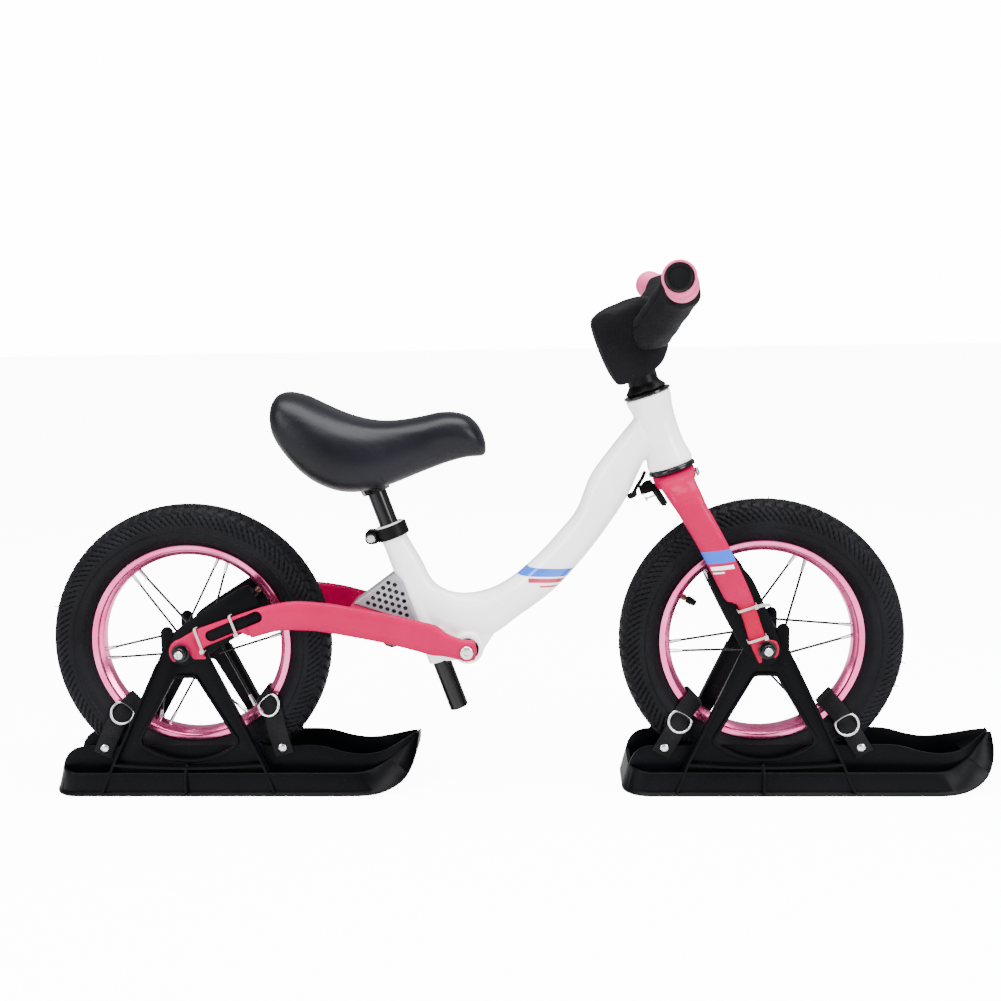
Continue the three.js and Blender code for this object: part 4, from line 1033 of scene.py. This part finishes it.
def strap(prefix, where, axle, degrees, lean, ring, body):
    """Webbing over the rim between two spokes, which then leans down to the cradle walls.

    The ring is (distance along the strap, distance from the middle, tilt).
    """
    ux, uz = polar(1, degrees)
    radial, across = Vector((ux, 0, uz)), Vector((-uz, 0, ux))
    bend, down = math.radians(lean), -math.copysign(1, ux)
    bend_from, bend_to = 100, 120
    bend_radius = (bend_to - bend_from) / bend

    def at(r):
        """The strap's middle in the wheel's plane, where it heads, and the way of its width."""
        turned = bend * min(max((r - bend_from) / (bend_to - bend_from), 0), 1)
        past = max(r - bend_to, 0)
        out = min(r, bend_from) + bend_radius * math.sin(turned) + past * math.cos(bend)
        aside = bend_radius * (1 - math.cos(turned)) + past * math.sin(bend)
        heading = math.cos(turned) * radial + down * math.sin(turned) * across
        width_way = math.cos(turned) * across - down * math.sin(turned) * radial
        return out * radial + down * aside * across, heading, width_way

    width, thick, low_end, stud_face = 20, 1.8, -117, 32.9
    bent, heading = at(bend_to)[:2]
    end = bend_to + (low_end - bent.z) / heading.z
    half = [(0, 93.4), (8, 93.4), (15, 99), (20.5, 112), (27, 124), (31.6, 138), (32.2, end)]
    path = through([(-y, r) for y, r in reversed(half[1:])] + half, 61)
    edge = [(1, 0.45), (1, -0.45), (0.5, -0.5), (-0.5, -0.5)]
    corners = edge + [(-n, -w) for n, w in edge]
    rings = []
    for point, ahead in zip(path, headings(path)):
        out = Vector((ahead.y, -ahead.x)) * thick / 2
        middle, heading, width_way = at(point.y)
        rings.append([
            axle + MM * (middle + out.y * n * heading + Vector((0, point.x + out.x * n, 0))
                         + width * w * width_way)
            for n, w in corners
        ])
    web = shaded(lofted(f"{prefix}_strap_{where}_webbing", rings), 50)
    finish_piece(web, "webbing", body, "webbing", f"{prefix}_strap_{where}")
    fittings = []
    stud = [(0, 0), (0, 4.4), (0.7, 4.4), (1.3, 3.6), (1.7, 2.0), (1.8, 0)]
    ring_at, ring_out, ring_tilt = ring
    for side in SIDES.values():
        middle, heading, width_way = at(ring_at)
        centre = axle + MM * (middle + Vector((0, side * ring_out, 0)))
        tilt = Matrix.Rotation(math.radians(ring_tilt) * side, 3, width_way)
        fittings.append(d_ring(centre, tilt @ heading, width_way, tilt @ Vector((0, side, 0))))
        stud_at = axle + MM * (at(end - 8)[0] + Vector((0, side * stud_face, 0)))
        fittings.append(shaded(spun("stud", stud, stud_at, (0, side, 0), 24)))
    metal = joined(f"{prefix}_strap_{where}_fittings", fittings)
    finish_piece(metal, "steel", body, "steel")


# Frame, fork and swingarm

def tube_between(name, outer, inner, half_at, power, set_down):
    """A flattened tube between two edge lines; `half_at` gives its half width along the way."""
    count = 40
    outline = squircle(32, 2 / power, 2 / power)
    rings = []
    for k, (a, b) in enumerate(zip(through(outer, count), through(inner, count))):
        share = k / (count - 1)
        half = half_at(share)
        flat = [((a + b) / 2 + (a - b) / 2 * u, v * half) for u, v in outline]
        rings.append([set_down(spot.x, share, y, spot.y) for spot, y in flat])
    return lofted(name, rings)


def main_frame():
    outer = [(190, 206), (178, 186), (162, 152), (135, 112), (109, 80), (82, 52), (44, 24), (22, 8),
             (-6, 1), (-34, 6), (-58, 24), (-72, 44), (-84, 74), (-95, 106)]
    inner = [(172, 237), (146, 205), (125, 176), (111, 141), (93, 118), (70, 93), (42, 69), (16, 55),
             (-12, 51), (-32, 56), (-45, 67), (-54, 86), (-62, 100), (-70, 114.5)]

    def half_at(share):
        wide = 20 + 2.5 * math.sin(math.pi * share)
        return mixed(wide, 13.3, eased(share, 0.62, 0.79))

    spine = tube_between("down_tube", outer, inner, half_at, 2.6,
                         lambda x, share, y, z: bike_point(x, y, z))
    flared = [(6, 0), (6, 23.4), (8, 24.1), (13, 23.6), (24, 21.2), (38, 20), (54, 20), (68, 21.2),
              (78, 23.2), (82, 23.9), (84, 23.3), (84, 0)]
    head = spun("head_tube", flared, CROWN, STEERER, 48)
    mast = bar("seat_tube", seat_point(0), seat_point(SEAT_TUBE - 12), 13.5, 40)
    lug = cross_bar("pivot_lug", PIVOT, 22, 17, 40)
    web = plate("web", [(-44, 16), (-30, -20), (4, -18), (26, 16)], bike_point, -15, 15)
    collar = bar("seat_collar", seat_point(0.4), seat_point(7), 14.4, 40)
    cutters = [
        bar("head_bore", steering_point(0, 0, 0), steering_point(0, 0, 90), 15.4, 40),
        bar("seat_bore", seat_point(-5), seat_point(96), 10.5, 40),
        cross_bar("pivot_bore", PIVOT, 40, 6.9, 32),
    ]
    piece = moulded("main_frame_casting", [spine, head, mast, lug, web, collar], 1.4, 5, cutters)
    finish_piece(piece, "white", "frame", "white_paint", "main_frame")


def pivot_bushes():
    for label, side in SIDES.items():
        profile = [(0, 5), (0, 11.4), (0.4, 12), (2, 12), (2.3, 11.6), (2.3, 5)]
        bush = spun(f"pivot_washer_{label}", profile, about(PIVOT)(0, side * 22.4, 0), (0, side, 0), 40)
        finish_piece(shaded(bush), "plastic", "frame", "black_plastic", f"pivot_bush_{label}")


def pivot_bolt():
    parts = [cross_bar("shank", PIVOT, 38, 4.2, 24)]
    head = [(0, 0), (0, 7), (1.6, 7), (2.6, 6.2), (3, 5), (3, 2.9), (1, 2.7), (1, 0)]
    for side in SIDES.values():
        parts.append(spun("head", head, about(PIVOT)(0, side * 37.8, 0), (0, side, 0), 32))
    piece = joined("pivot_bolt_and_caps", [shaded(part) for part in parts])
    finish_piece(piece, "steel", "frame", "steel", "pivot_bolt")


def headset():
    lower = [(1.1, 13.7), (1.1, 24.2), (1.5, 24.9), (2.6, 25), (4.4, 24.6), (5.4, 23.6), (5.7, 13.7)]
    upper = [(84.3, 13.7), (84.3, 24), (84.9, 24.8), (86.6, 24.7), (87.6, 22.6), (88.5, 18), (88.5, 13.7)]
    for name, profile in (("lower", lower), ("upper", upper)):
        cup = spun(f"headset_{name}_ring", profile, CROWN, STEERER, 56)
        finish_piece(shaded(cup), "gloss", "frame", "black_paint", f"headset_{name}_cup")


def fork():
    stations = [
        (-6, 0, 20, 8, 6), (-8, 0, 19, 22, 6), (-13, 0, 17.5, 36, 6.5), (-24, 2, 16.5, 45.5, 7),
        (-40, 5, 15, 49.5, 6.8), (-75, 12, 14.5, 50.6, 6.5), (-120, 18.5, 14, 50.5, 6.2),
        (-138, 21, 13, 50, 6), (-147, 26, 8.7, 48.2, 4.6), (-188, 26, 8.7, 47.2, 3.6),
    ]
    count = 41
    ways = headings(through([(s[0], s[3]) for s in stations], count))
    ways[0] = Vector((0, -1))
    rings = []
    for (z, middle, half, y, thick), ahead in zip(through(stations, count), ways):
        rings.append([
            steering_point(middle + u * half, y + ahead.x * v * thick, z - ahead.y * v * thick)
            for u, v in squircle(28, 0.75, 0.75)
        ])
    leg = lofted("leg", rings)
    foot = [(17.5, -178), (34.8, -178), (34.8, -190)]
    foot += arc(FORK_OFFSET, -FORK_DROP, 12.5, 30, -70, 10) + arc(FORK_OFFSET, -FORK_DROP, 5.9, -60, 170, 14)
    foot += [(24, -212), (20, -212), (18, -196)]
    hook = plate("hook", foot, steering_point, DROPOUT_INNER, DROPOUT_OUTER)
    parts = [leg, hook, mirrored(leg, "leg_right"), mirrored(hook, "hook_right")]
    crown = [(-14, 0), (-14, 21), (-6, 22.2), (-1, 22.5), (0, 21.8), (0, 0)]
    parts.append(spun("crown", crown, CROWN, STEERER, 56))
    parts.append(bar("steerer", steering_point(0, 0, -2), steering_point(0, 0, 127), 12.4, 32))
    piece = moulded("fork_casting", parts, 1.3, 4)
    finish_piece(piece, "fork", "steering", "pink_paint", "fork")


def crown_bolt():
    level = -9
    middle = steering_point(0, 0, level)
    shank = bar("shank", steering_point(-38, 0, level), steering_point(24, 0, level), 2.6, 20)
    socket = [(22.4, 0), (22.4, 4.4), (24, 4.7), (25.4, 4), (26.2, 2.8), (26.2, 1.8), (24.6, 1.7), (24.6, 0)]
    head = spun("head", socket, middle, FORWARD, 32)
    piece = joined("crown_bolt_and_head", [shaded(part) for part in (shank, head)])
    finish_piece(piece, "steel", "steering", "steel", "crown_bolt")
    sleeve = [(-39, 0), (-39, 4.6), (-38.4, 5.2), (-24.6, 5.6), (-23.8, 5.2), (-23.8, 0)]
    nut = spun("crown_bolt_nut", sleeve, middle, FORWARD, 32)
    finish_piece(shaded(nut), "plastic", "steering", "steel")


def steering_limiter():
    """Rubber stops behind the crown that end the fork's turn: a hook on the frame, a buffer on the fork."""
    way = through([(182, -5, 181), (178.5, -6, 173), (174, -6.5, 166), (170.5, -7, 159.5)], 12)
    wire = [bike_point(*point) for point in way]
    parts = [bar("hook_wire", a, b, 2.0, 12) for a, b in zip(wire, wire[1:])]
    parts.append(rod("hook_end", bike_point(173.5, -7, 158.5), bike_point(163.5, -7, 153.6), 3.3))
    hook = moulded("limiter_hook", parts, 0.7, 3)
    finish_piece(hook, "rubber", "frame", "tube_rubber")
    arm = [bike_point(*point) for point in through([(178, 0, 163), (183, 0, 168.5), (189, 0, 169.5)], 8)]
    parts = [bar("buffer_arm", a, b, 1.8, 12) for a, b in zip(arm, arm[1:])]
    parts.append(rod("buffer", bike_point(188.6, 0, 167), bike_point(204, 0, 143.6), 3.9))
    buffer = moulded("limiter_buffer", parts, 0.8, 3)
    finish_piece(buffer, "rubber", "steering", "tube_rubber")
    screws = []
    head = [(-1.8, 0), (-1.8, 1.9), (-1.1, 2.5), (0.6, 2.5), (0.6, 0)]
    for x, z in ((180.2, 157.2), (184, 151.4)):
        start, end = bike_point(x, -1, z), bike_point(x + 10.5, -1, z + 4)
        screws.append(shaded(bar("screw", start, end, 1.1, 14)))
        screws.append(shaded(spun("screw_head", head, start, end - start, 20)))
    screws = joined("limiter_screws", screws)
    finish_piece(screws, "steel", "steering", "steel")


def swingarm():
    top = [(3, 8), (-10, 8.5), (-27, 15), (-36, 23), (-54, 28), (-87, 37), (-127, 46.5), (-151, 51.5),
           (-183, 54.5), (-212, 50), (-238, 42)]
    bottom = [(3, -14), (-10, -14), (-31, -9.5), (-44, -8.5), (-62, -3), (-96, 7), (-128, 15), (-150, 20),
              (-172, 23), (-200, 23), (-229, 15.5)]

    def sideways(x, share, y, z):
        return bike_point(x, 32 + 17 * eased(share, 0.2, 0.82) + y, z)

    leg = tube_between("side_leg", top, bottom, lambda share: 5.5, 3, sideways)
    rear = -304.3
    hook = [(-232, 43.5), (-262, 33.5), (-288, 24.5)] + arc(rear, 0, 14, 100, 235, 12)
    hook += arc(rear, 0, 6, 240, 20, 14) + [(rear + 12, -8), (rear + 26, -8), (-284, 1), (-277, 7)]
    hook += [(-241, 22), (-232, 17)]
    pad = [(-232, 43.5), (-262, 33.5), (-284, 26), (-290, 17), (-284, 2), (-277, 7), (-241, 22), (-232, 17)]
    left = [
        leg,
        plate("hook", hook, bike_point, DROPOUT_INNER, DROPOUT_OUTER),
        plate("pad", pad, bike_point, DROPOUT_INNER, PAD_OUTER),
        bar("eye", about(PIVOT)(0, 24.9, 0), about(PIVOT)(0, 37.5, 0), 10.3, 32),
    ]
    left = joined("left_arm", left)
    bridge = plate("bridge", [(-129, 43.9), (-127, 33), (-76, 15.5), (-70.5, 15.5), (-70.5, 24.5)],
                   bike_point, -36, 36)
    recess = arc(-271.6, 18.4, 6, 112, 292, 10) + arc(-222.6, 38.6, 6.2, -68, 112, 10)
    cutters = [cross_bar("pivot_bore", PIVOT, 60, 4.8, 24)]
    for side in SIDES.values():
        low, high = sorted((side * 48.6, side * 60))
        cutters.append(plate("recess", recess, bike_point, low, high))
    piece = moulded("swingarm_casting", [left, mirrored(left, "right_arm"), bridge], 1.4, 4, cutters)
    finish_piece(piece, "pink", "rear_arm", "pink_paint", "swingarm")
    for label, side in SIDES.items():
        low, high = sorted((side * 48.4, side * 49.6))
        inlay = plate(f"hook_inlay_{label}", recess, bike_point, low, high)
        finish_piece(shaded(soft_edges(inlay, 0.4)), "plastic", "rear_arm", "black_plastic")


def inside(place, corners, margin):
    """Whether a place lies in a four-cornered outline, clear of its edges."""
    count = len(corners)
    area = sum(corners[k][0] * corners[(k + 1) % count][1] - corners[(k + 1) % count][0] * corners[k][1]
               for k in range(count))
    for k in range(count):
        a, b = Vector(corners[k]), Vector(corners[(k + 1) % count])
        edge = (b - a).normalized()
        clear = edge.x * (place.y - a.y) - edge.y * (place.x - a.x)
        if math.copysign(1, area) * clear < margin:
            return False
    return True


def damper():
    """The springy block between the seat tube and the swingarm, bored with rows of round holes."""
    corners = [(-84, 75), (-75, 68), (-58.5, 21), (-127, 43.6)]
    piece = soft_edges(plate("damper_bored_block", corners, bike_point, -16, 16), 1.6, 3)
    cutters = []
    low, high = Vector(corners[3]), Vector(corners[2])
    along = (high - low).normalized()
    up = Vector((-along.y, along.x))
    for row in range(7):
        for column in range(-2, 13):
            place = low + along * (7.4 + 7.2 * (column + 0.5 * (row % 2))) + up * (5.6 + 6.9 * row)
            if inside(place, corners, 3.6):
                cutters.append(cross_bar("bore", bike_point(place.x, 0, place.y), 17, 2.45, 20))
    cut(piece, joined("bores", cutters))
    cut(piece, bar("post_way", seat_point(-5), seat_point(SEAT_TUBE), 13.8, 40))
    finish_piece(shaded(piece, 30), "foam", None, "damper_rubber", "damper_block")
    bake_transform(piece)
    place, down = bike_point(-84, 0, 17.6), Vector((-0.321, 0, -0.947))
    hexagon = [(19.6, 0), (19.6, 8.6), (20.6, 8.6), (20.8, 7.2), (24.4, 7.2), (25, 6.4), (25, 3.4),
               (22.5, 3.2), (22.5, 0)]
    bolt = joined("damper_bolt_and_head", [
        shaded(bar("shank", place - down * 0.004, place + down * 0.02, 3.2, 20)),
        shaded(spun("head", hexagon, place, down, 6)),
    ])
    finish_piece(bolt, "gloss", "rear_arm", "steel", "damper_bolt")


# Seat

def seat_post():
    """A round post over the model's own moulding, which carries the tray inside the saddle."""
    only(bpy.data.objects["seat_post"])
    bpy.ops.object.duplicate()
    tray = called("tray")
    tray.parent = None
    bpy.ops.object.mode_set(mode="EDIT")
    bpy.ops.mesh.select_all(action="SELECT")
    bpy.ops.mesh.remove_doubles(threshold=1e-6)
    # The plane's normal is a millimetre long, so what lies within a tenth of a metre of it stays
    bpy.ops.mesh.bisect(plane_co=seat_point(-62), plane_no=-MM * POST, clear_outer=True, use_fill=True)
    sound(tray)
    wall = [(-66, 0), (-66, 9.4), (-65.4, 10), (203.4, 10), (204, 9.4), (204, 8.4), (120, 8.2), (120, 0)]
    post = spun("post", wall, seat_point(0), -POST, 48)
    piece = joined("seat_post_and_tray", [shaded(post), shaded(tray)])
    finish_piece(piece, "gloss", "seat", "black_paint", "seat_post")


def seat_clamp():
    """A ring round the seat tube's top with two ears, the bolt through them and the tube's white lip."""
    collar = [(-8, 12), (-8, 16.8), (-7.2, 17.6), (4.8, 17.6), (5.5, 16.9), (5.5, 13.9), (-1, 13.9),
              (-1, 10.4), (-7.5, 10.4)]
    ring = spun("collar", collar, seat_point(0), -POST, 56)
    place = seat_point(-1.2) + MM * Vector((-20.5, 0, -6))
    ears = soft_edges(block("ears", place, (15, 22, 15)), 5.5, 6)
    cut(ears, block("slit", place - MM * Vector((3.5, 0, 1)), (22, 2.2, 20)))
    piece = joined("seat_clamp_band", [shaded(ring), shaded(ears)])
    finish_piece(piece, "satin", "frame", "black_paint", "seat_clamp")
    screw = [(-16, 0), (-16, 2.2), (-15, 2.2), (-15, 3.6), (-15.6, 4.2), (-14.9, 4.7), (-11.6, 4.7),
             (-11.3, 4.2), (-11.3, 2.6), (13.5, 2.6), (13.5, 0)]
    bolt = shaded(spun("seat_clamp_screw", screw, place, (0, 1, 0), 32))
    finish_piece(bolt, "steel", "frame", "steel", "seat_clamp_bolt")
    lip = [(-7.9, 10.4), (-7.9, 14.6), (-8.8, 14.8), (-9.6, 14), (-9.8, 11), (-9.8, 10.4)]
    ring = shaded(spun("seat_tube_lip", lip, seat_point(0), -POST, 48))
    finish_piece(ring, "white", "frame", "white_paint")


def saddle():
    """The saddle's padded cover: narrow tail lip, broad seat and a slim nose that lifts."""
    sections = [
        (-207, 236, 248, 18), (-203.5, 222, 260.5, 35), (-194.5, 206, 268.4, 44.5), (-176, 184, 265, 50.5),
        (-155, 170, 254, 54), (-131, 163, 243, 54), (-105, 165, 236, 50), (-80, 173, 235, 43),
        (-52, 184, 239, 36), (-26, 193.5, 244.5, 31), (-5, 199, 242, 27.5), (8, 199.5, 231, 23),
        (14, 199, 218, 16), (15.6, 201, 210, 8),
    ]
    outline = squircle(48, 0.72, 0.85)
    rings = []
    for x, low, top, half in through(sections, 61):
        middle, half_height = (low + top) / 2, (top - low) / 2
        rings.append([bike_point(x, u * half, middle + v * half_height) for u, v in outline])
    piece = lofted("saddle_padded_cover", rings)
    apply(piece, "SUBSURF", levels=1)
    return piece


def puffed(piece, voxel, cap, pressure):
    """Swollen like foam under a tight cover: a short cloth run, no point moving past the cap."""
    apply(piece, "REMESH", mode="VOXEL", voxel_size=voxel * MM, use_smooth_shade=True)
    start = [vertex.co.copy() for vertex in piece.data.vertices]
    only(piece)
    cloth = piece.modifiers.new("cloth", "CLOTH")
    cloth.settings.use_pressure = True
    cloth.settings.uniform_pressure_force = pressure
    cloth.settings.effector_weights.gravity = 0
    for number in range(1, 21):
        bpy.context.scene.frame_set(number)
    bpy.ops.object.modifier_apply(modifier="cloth")
    bpy.context.scene.frame_set(1)
    for vertex, old in zip(piece.data.vertices, start):
        move = vertex.co - old
        if move.length > cap * MM:
            vertex.co = old + move.normalized() * cap * MM
    apply(piece, "SMOOTH", factor=0.5, iterations=4)
    apply(piece, "SUBSURF", levels=1)
    return shaded(piece, 60)


def saddle_piece():
    piece = puffed(saddle(), 3.2, 1.6, 3)
    finish_piece(piece, "hide", "seat", "saddle_cover", "saddle_pad")


# Handlebar

def half_bar(side):
    """Half of the bar's middle line: straight in its clamp, up to the grip and out along it."""
    bend = BAR_CLAMP + Vector((0, 40, 0))
    knee = GRIP_ROOT + (GRIP_ROOT - BAR_TIP) * 0.136
    way, curve = [BAR_CLAMP], 12
    for before, corner, after in ((BAR_CLAMP, bend, knee), (bend, knee, BAR_TIP)):
        first = corner + curve * (before - corner).normalized()
        last = corner + curve * (after - corner).normalized()
        way += [first, (first + 2 * corner + last) / 4, last]
    way = way[:4] + [(way[3] + way[4]) / 2] + way[4:] + [(way[-1] + BAR_TIP) / 2, BAR_TIP]
    return [Vector((point.x, side * point.y, point.z)) for point in through(way, 181)]


def bar_between(first, last, count, side):
    """Even places on half of the bar between two distances from the middle plane."""
    return through([point for point in half_bar(side) if first <= abs(point.y) <= last], count)


def hose(name, path, radius_at, around):
    """A sleeve or rod along a path of places about the steering axis; radius_at(share, angle)."""
    rings = []
    for k, (point, ahead) in enumerate(zip(path, headings(path))):
        side = ahead.cross(Vector((0.2, 0, 1))).normalized()
        up = side.cross(ahead)
        share = k / (len(path) - 1)
        rings.append([
            steering_point(*(point + radius_at(share, a) * (math.cos(a) * side + math.sin(a) * up)))
            for a in (2 * math.pi * n / around for n in range(around))
        ])
    return lofted(name, rings)


def handlebar():
    left, right = bar_between(0, 183, 70, 1), bar_between(0, 183, 70, -1)
    path = list(reversed(right)) + left[1:]
    piece = shaded(hose("bar_tube", path, lambda share, angle: 11, 32))
    finish_piece(piece, "gloss", "steering", "black_paint", "handlebar")


def bar_pads():
    """Boxy foam sleeves on both halves of the bar, each closed by a seam and bound at its ends."""
    def radius_at(share, angle):
        ends = min(eased(share, 0, 0.05), eased(1 - share, 0, 0.05)) ** 0.5
        boxy = (abs(math.cos(angle)) ** 3.4 + abs(math.sin(angle)) ** 3.4) ** (-1 / 3.4)
        return 12.4 + ((18.6 + 0.3 * math.sin(share * 23)) * boxy - 12.4) * ends

    for label, side in SIDES.items():
        path = bar_between(28.8, 98.6, 40, side)
        piece = puffed(hose(f"bar_pad_sleeve_{label}", path, radius_at, 48), 2.6, 1.0, 2)
        seam = {"right": 0.12, "left": 0.62}[label] * math.pi
        for vertex in piece.data.vertices:
            along = min(range(len(path)), key=lambda k: (steering_point(*path[k]) - vertex.co).length_squared)
            if 2 < along < len(path) - 3:
                ahead = (steering_point(*path[along + 1]) - steering_point(*path[along - 1])).normalized()
                aside = ahead.cross(STEERER).normalized()
                out = vertex.co - steering_point(*path[along])
                turn = math.atan2(out.dot(aside.cross(ahead)), out.dot(aside))
                near = abs((turn - seam + math.pi) % (2 * math.pi) - math.pi) * 20
                vertex.co -= out.normalized() * (1 - eased(near, 0.6, 2.2)) * 1.3 * MM
        finish_piece(piece, "cloth", "steering", "pad_cloth", f"bar_pad_{label}")


def grips():
    """Ribbed rubber grips with a round flange at the inner end and a plug in the outer one."""
    for label, side in SIDES.items():
        tip = Vector((BAR_TIP.x, side * BAR_TIP.y, BAR_TIP.z))
        root = Vector((GRIP_ROOT.x, side * GRIP_ROOT.y, GRIP_ROOT.z))
        centre = steering_point(*tip)
        axis = centre - steering_point(*root)
        profile = [(-81.6, 11.7), (-81.6, 15.8), (-81, 16.6), (-79.6, 16.6), (-78.8, 15.8), (-76.4, 15)]
        along = -74.6
        while along < -12:
            profile += [(along, 14.9), (along + 0.9, 14.2), (along + 2.1, 14.2), (along + 3, 14.9)]
            along += 4.2
        profile += [(-8.4, 14.9), (-5.6, 15.6), (-4.6, 16.1), (-2.2, 16.1), (-1.4, 15.4), (-1.4, 11.7)]
        grip = shaded(spun(f"grip_sleeve_{label}", profile, centre, axis, 56))
        finish_piece(grip, "grip", "steering", "grip_rubber", f"grip_{label}")
        cap = [(-18, 0), (-18, 8.6), (-1.1, 8.6), (-1.1, 13.1), (-0.7, 13.6), (-0.2, 13.3), (0, 12.6),
               (-0.7, 11.8), (-1.2, 8), (-1.2, 0)]
        end_plug = shaded(spun(f"bar_end_cap_{label}", cap, centre, axis, 48))
        finish_piece(end_plug, "rubber", "steering", "plug_rubber", f"bar_end_plug_{label}")


def stem():
    collar = bar("collar", steering_point(0, 0, 88.7), steering_point(0, 0, 128), 16, 40)
    foot = bar("foot", steering_point(0, 0, 88.7), steering_point(0, 0, 97), 22.5, 40, 15.5)
    arm = plate("arm", [(-10, 112), (14, 104), (34, 140), (12, 154)], steering_point, -12, 12)
    clamp = cross_bar("clamp", steering_point(*BAR_CLAMP), 20, 15.5, 40)
    cutters = [cross_bar("bar_bore", steering_point(*BAR_CLAMP), 30, 11.3, 32)]
    piece = moulded("stem_casting", [collar, foot, arm, clamp], 1.1, 4, cutters)
    finish_piece(piece, "satin", "steering", "black_paint", "stem")


PAD_OUTLINE = [
    (-33.5, 173), (-28, 178), (-17, 181), (-2, 181.5), (24, 183), (33, 177), (40, 166), (43, 152), (41, 140),
    (35.7, 132), (34.4, 127), (25.3, 113), (13.7, 107), (1.6, 104), (-25, 103), (-28, 108), (-32.3, 129),
    (-33.6, 149),
]


def stem_pad():
    cushion = plate("stem_pad_cushion", closed(PAD_OUTLINE, 72), steering_point, -25.4, 25.4)
    piece = puffed(soft_edges(cushion, 3.5, 3), 2.2, 1.6, 3)
    finish_piece(piece, "cloth", "steering", "pad_cloth", "stem_pad")


camera()
studio()

# Every piece

wheel("front", FRONT_AXLE, phase=5, valve_at=151, nut_seat=DROPOUT_OUTER, holder="steering")
wheel("rear", REAR_AXLE, phase=8, valve_at=38, nut_seat=PAD_OUTER, holder="rear_arm")
ski("front", FRONT_AXLE, "steering")
ski("rear", REAR_AXLE, "rear_arm")
for label in SIDES:
    lever_plate("front", FRONT_AXLE, 114.66, label, "steering")
    lever_plate("rear", REAR_AXLE, 31, label, "rear_arm")
    for count, (drop, tail) in enumerate(((152, 12), (186, 0)), start=1):
        tie("front", count, steering_point(26, 0, -drop), 108.16, 9.6, 53.4, label, "steering", tail)
    for count, (x, z, turn, half) in enumerate(((19.5, 13.2, 18, 12.8), (56.5, 28.7, 20, 10.8)), start=1):
        tie("rear", count, about(REAR_AXLE)(x, 0, z), turn, half, 51.6, label, "rear_arm")
strap("front", "aft", FRONT_AXLE, 222, 17, (120, 28.6, 9), "steering")
strap("front", "fore", FRONT_AXLE, 317, 16, (122, 29.6, 6), "steering")
strap("rear", "aft", REAR_AXLE, 224, 23, (106, 20.6, 24), "rear_arm")
strap("rear", "fore", REAR_AXLE, 322, 36, (106, 20.6, 24), "rear_arm")

main_frame()
pivot_bushes()
pivot_bolt()
headset()
seat_clamp()
seat_post()
saddle_piece()
fork()
crown_bolt()
steering_limiter()
stem()
handlebar()
bar_pads()
grips()
stem_pad()
swingarm()
damper()
for axle_node in ("front_axle", "rear_axle"):
    dress(axle_node, "steel")
for prefix in ("front", "rear"):
    for label in SIDES:
        dress(f"{prefix}_hub_bearing_{label}", "steel")
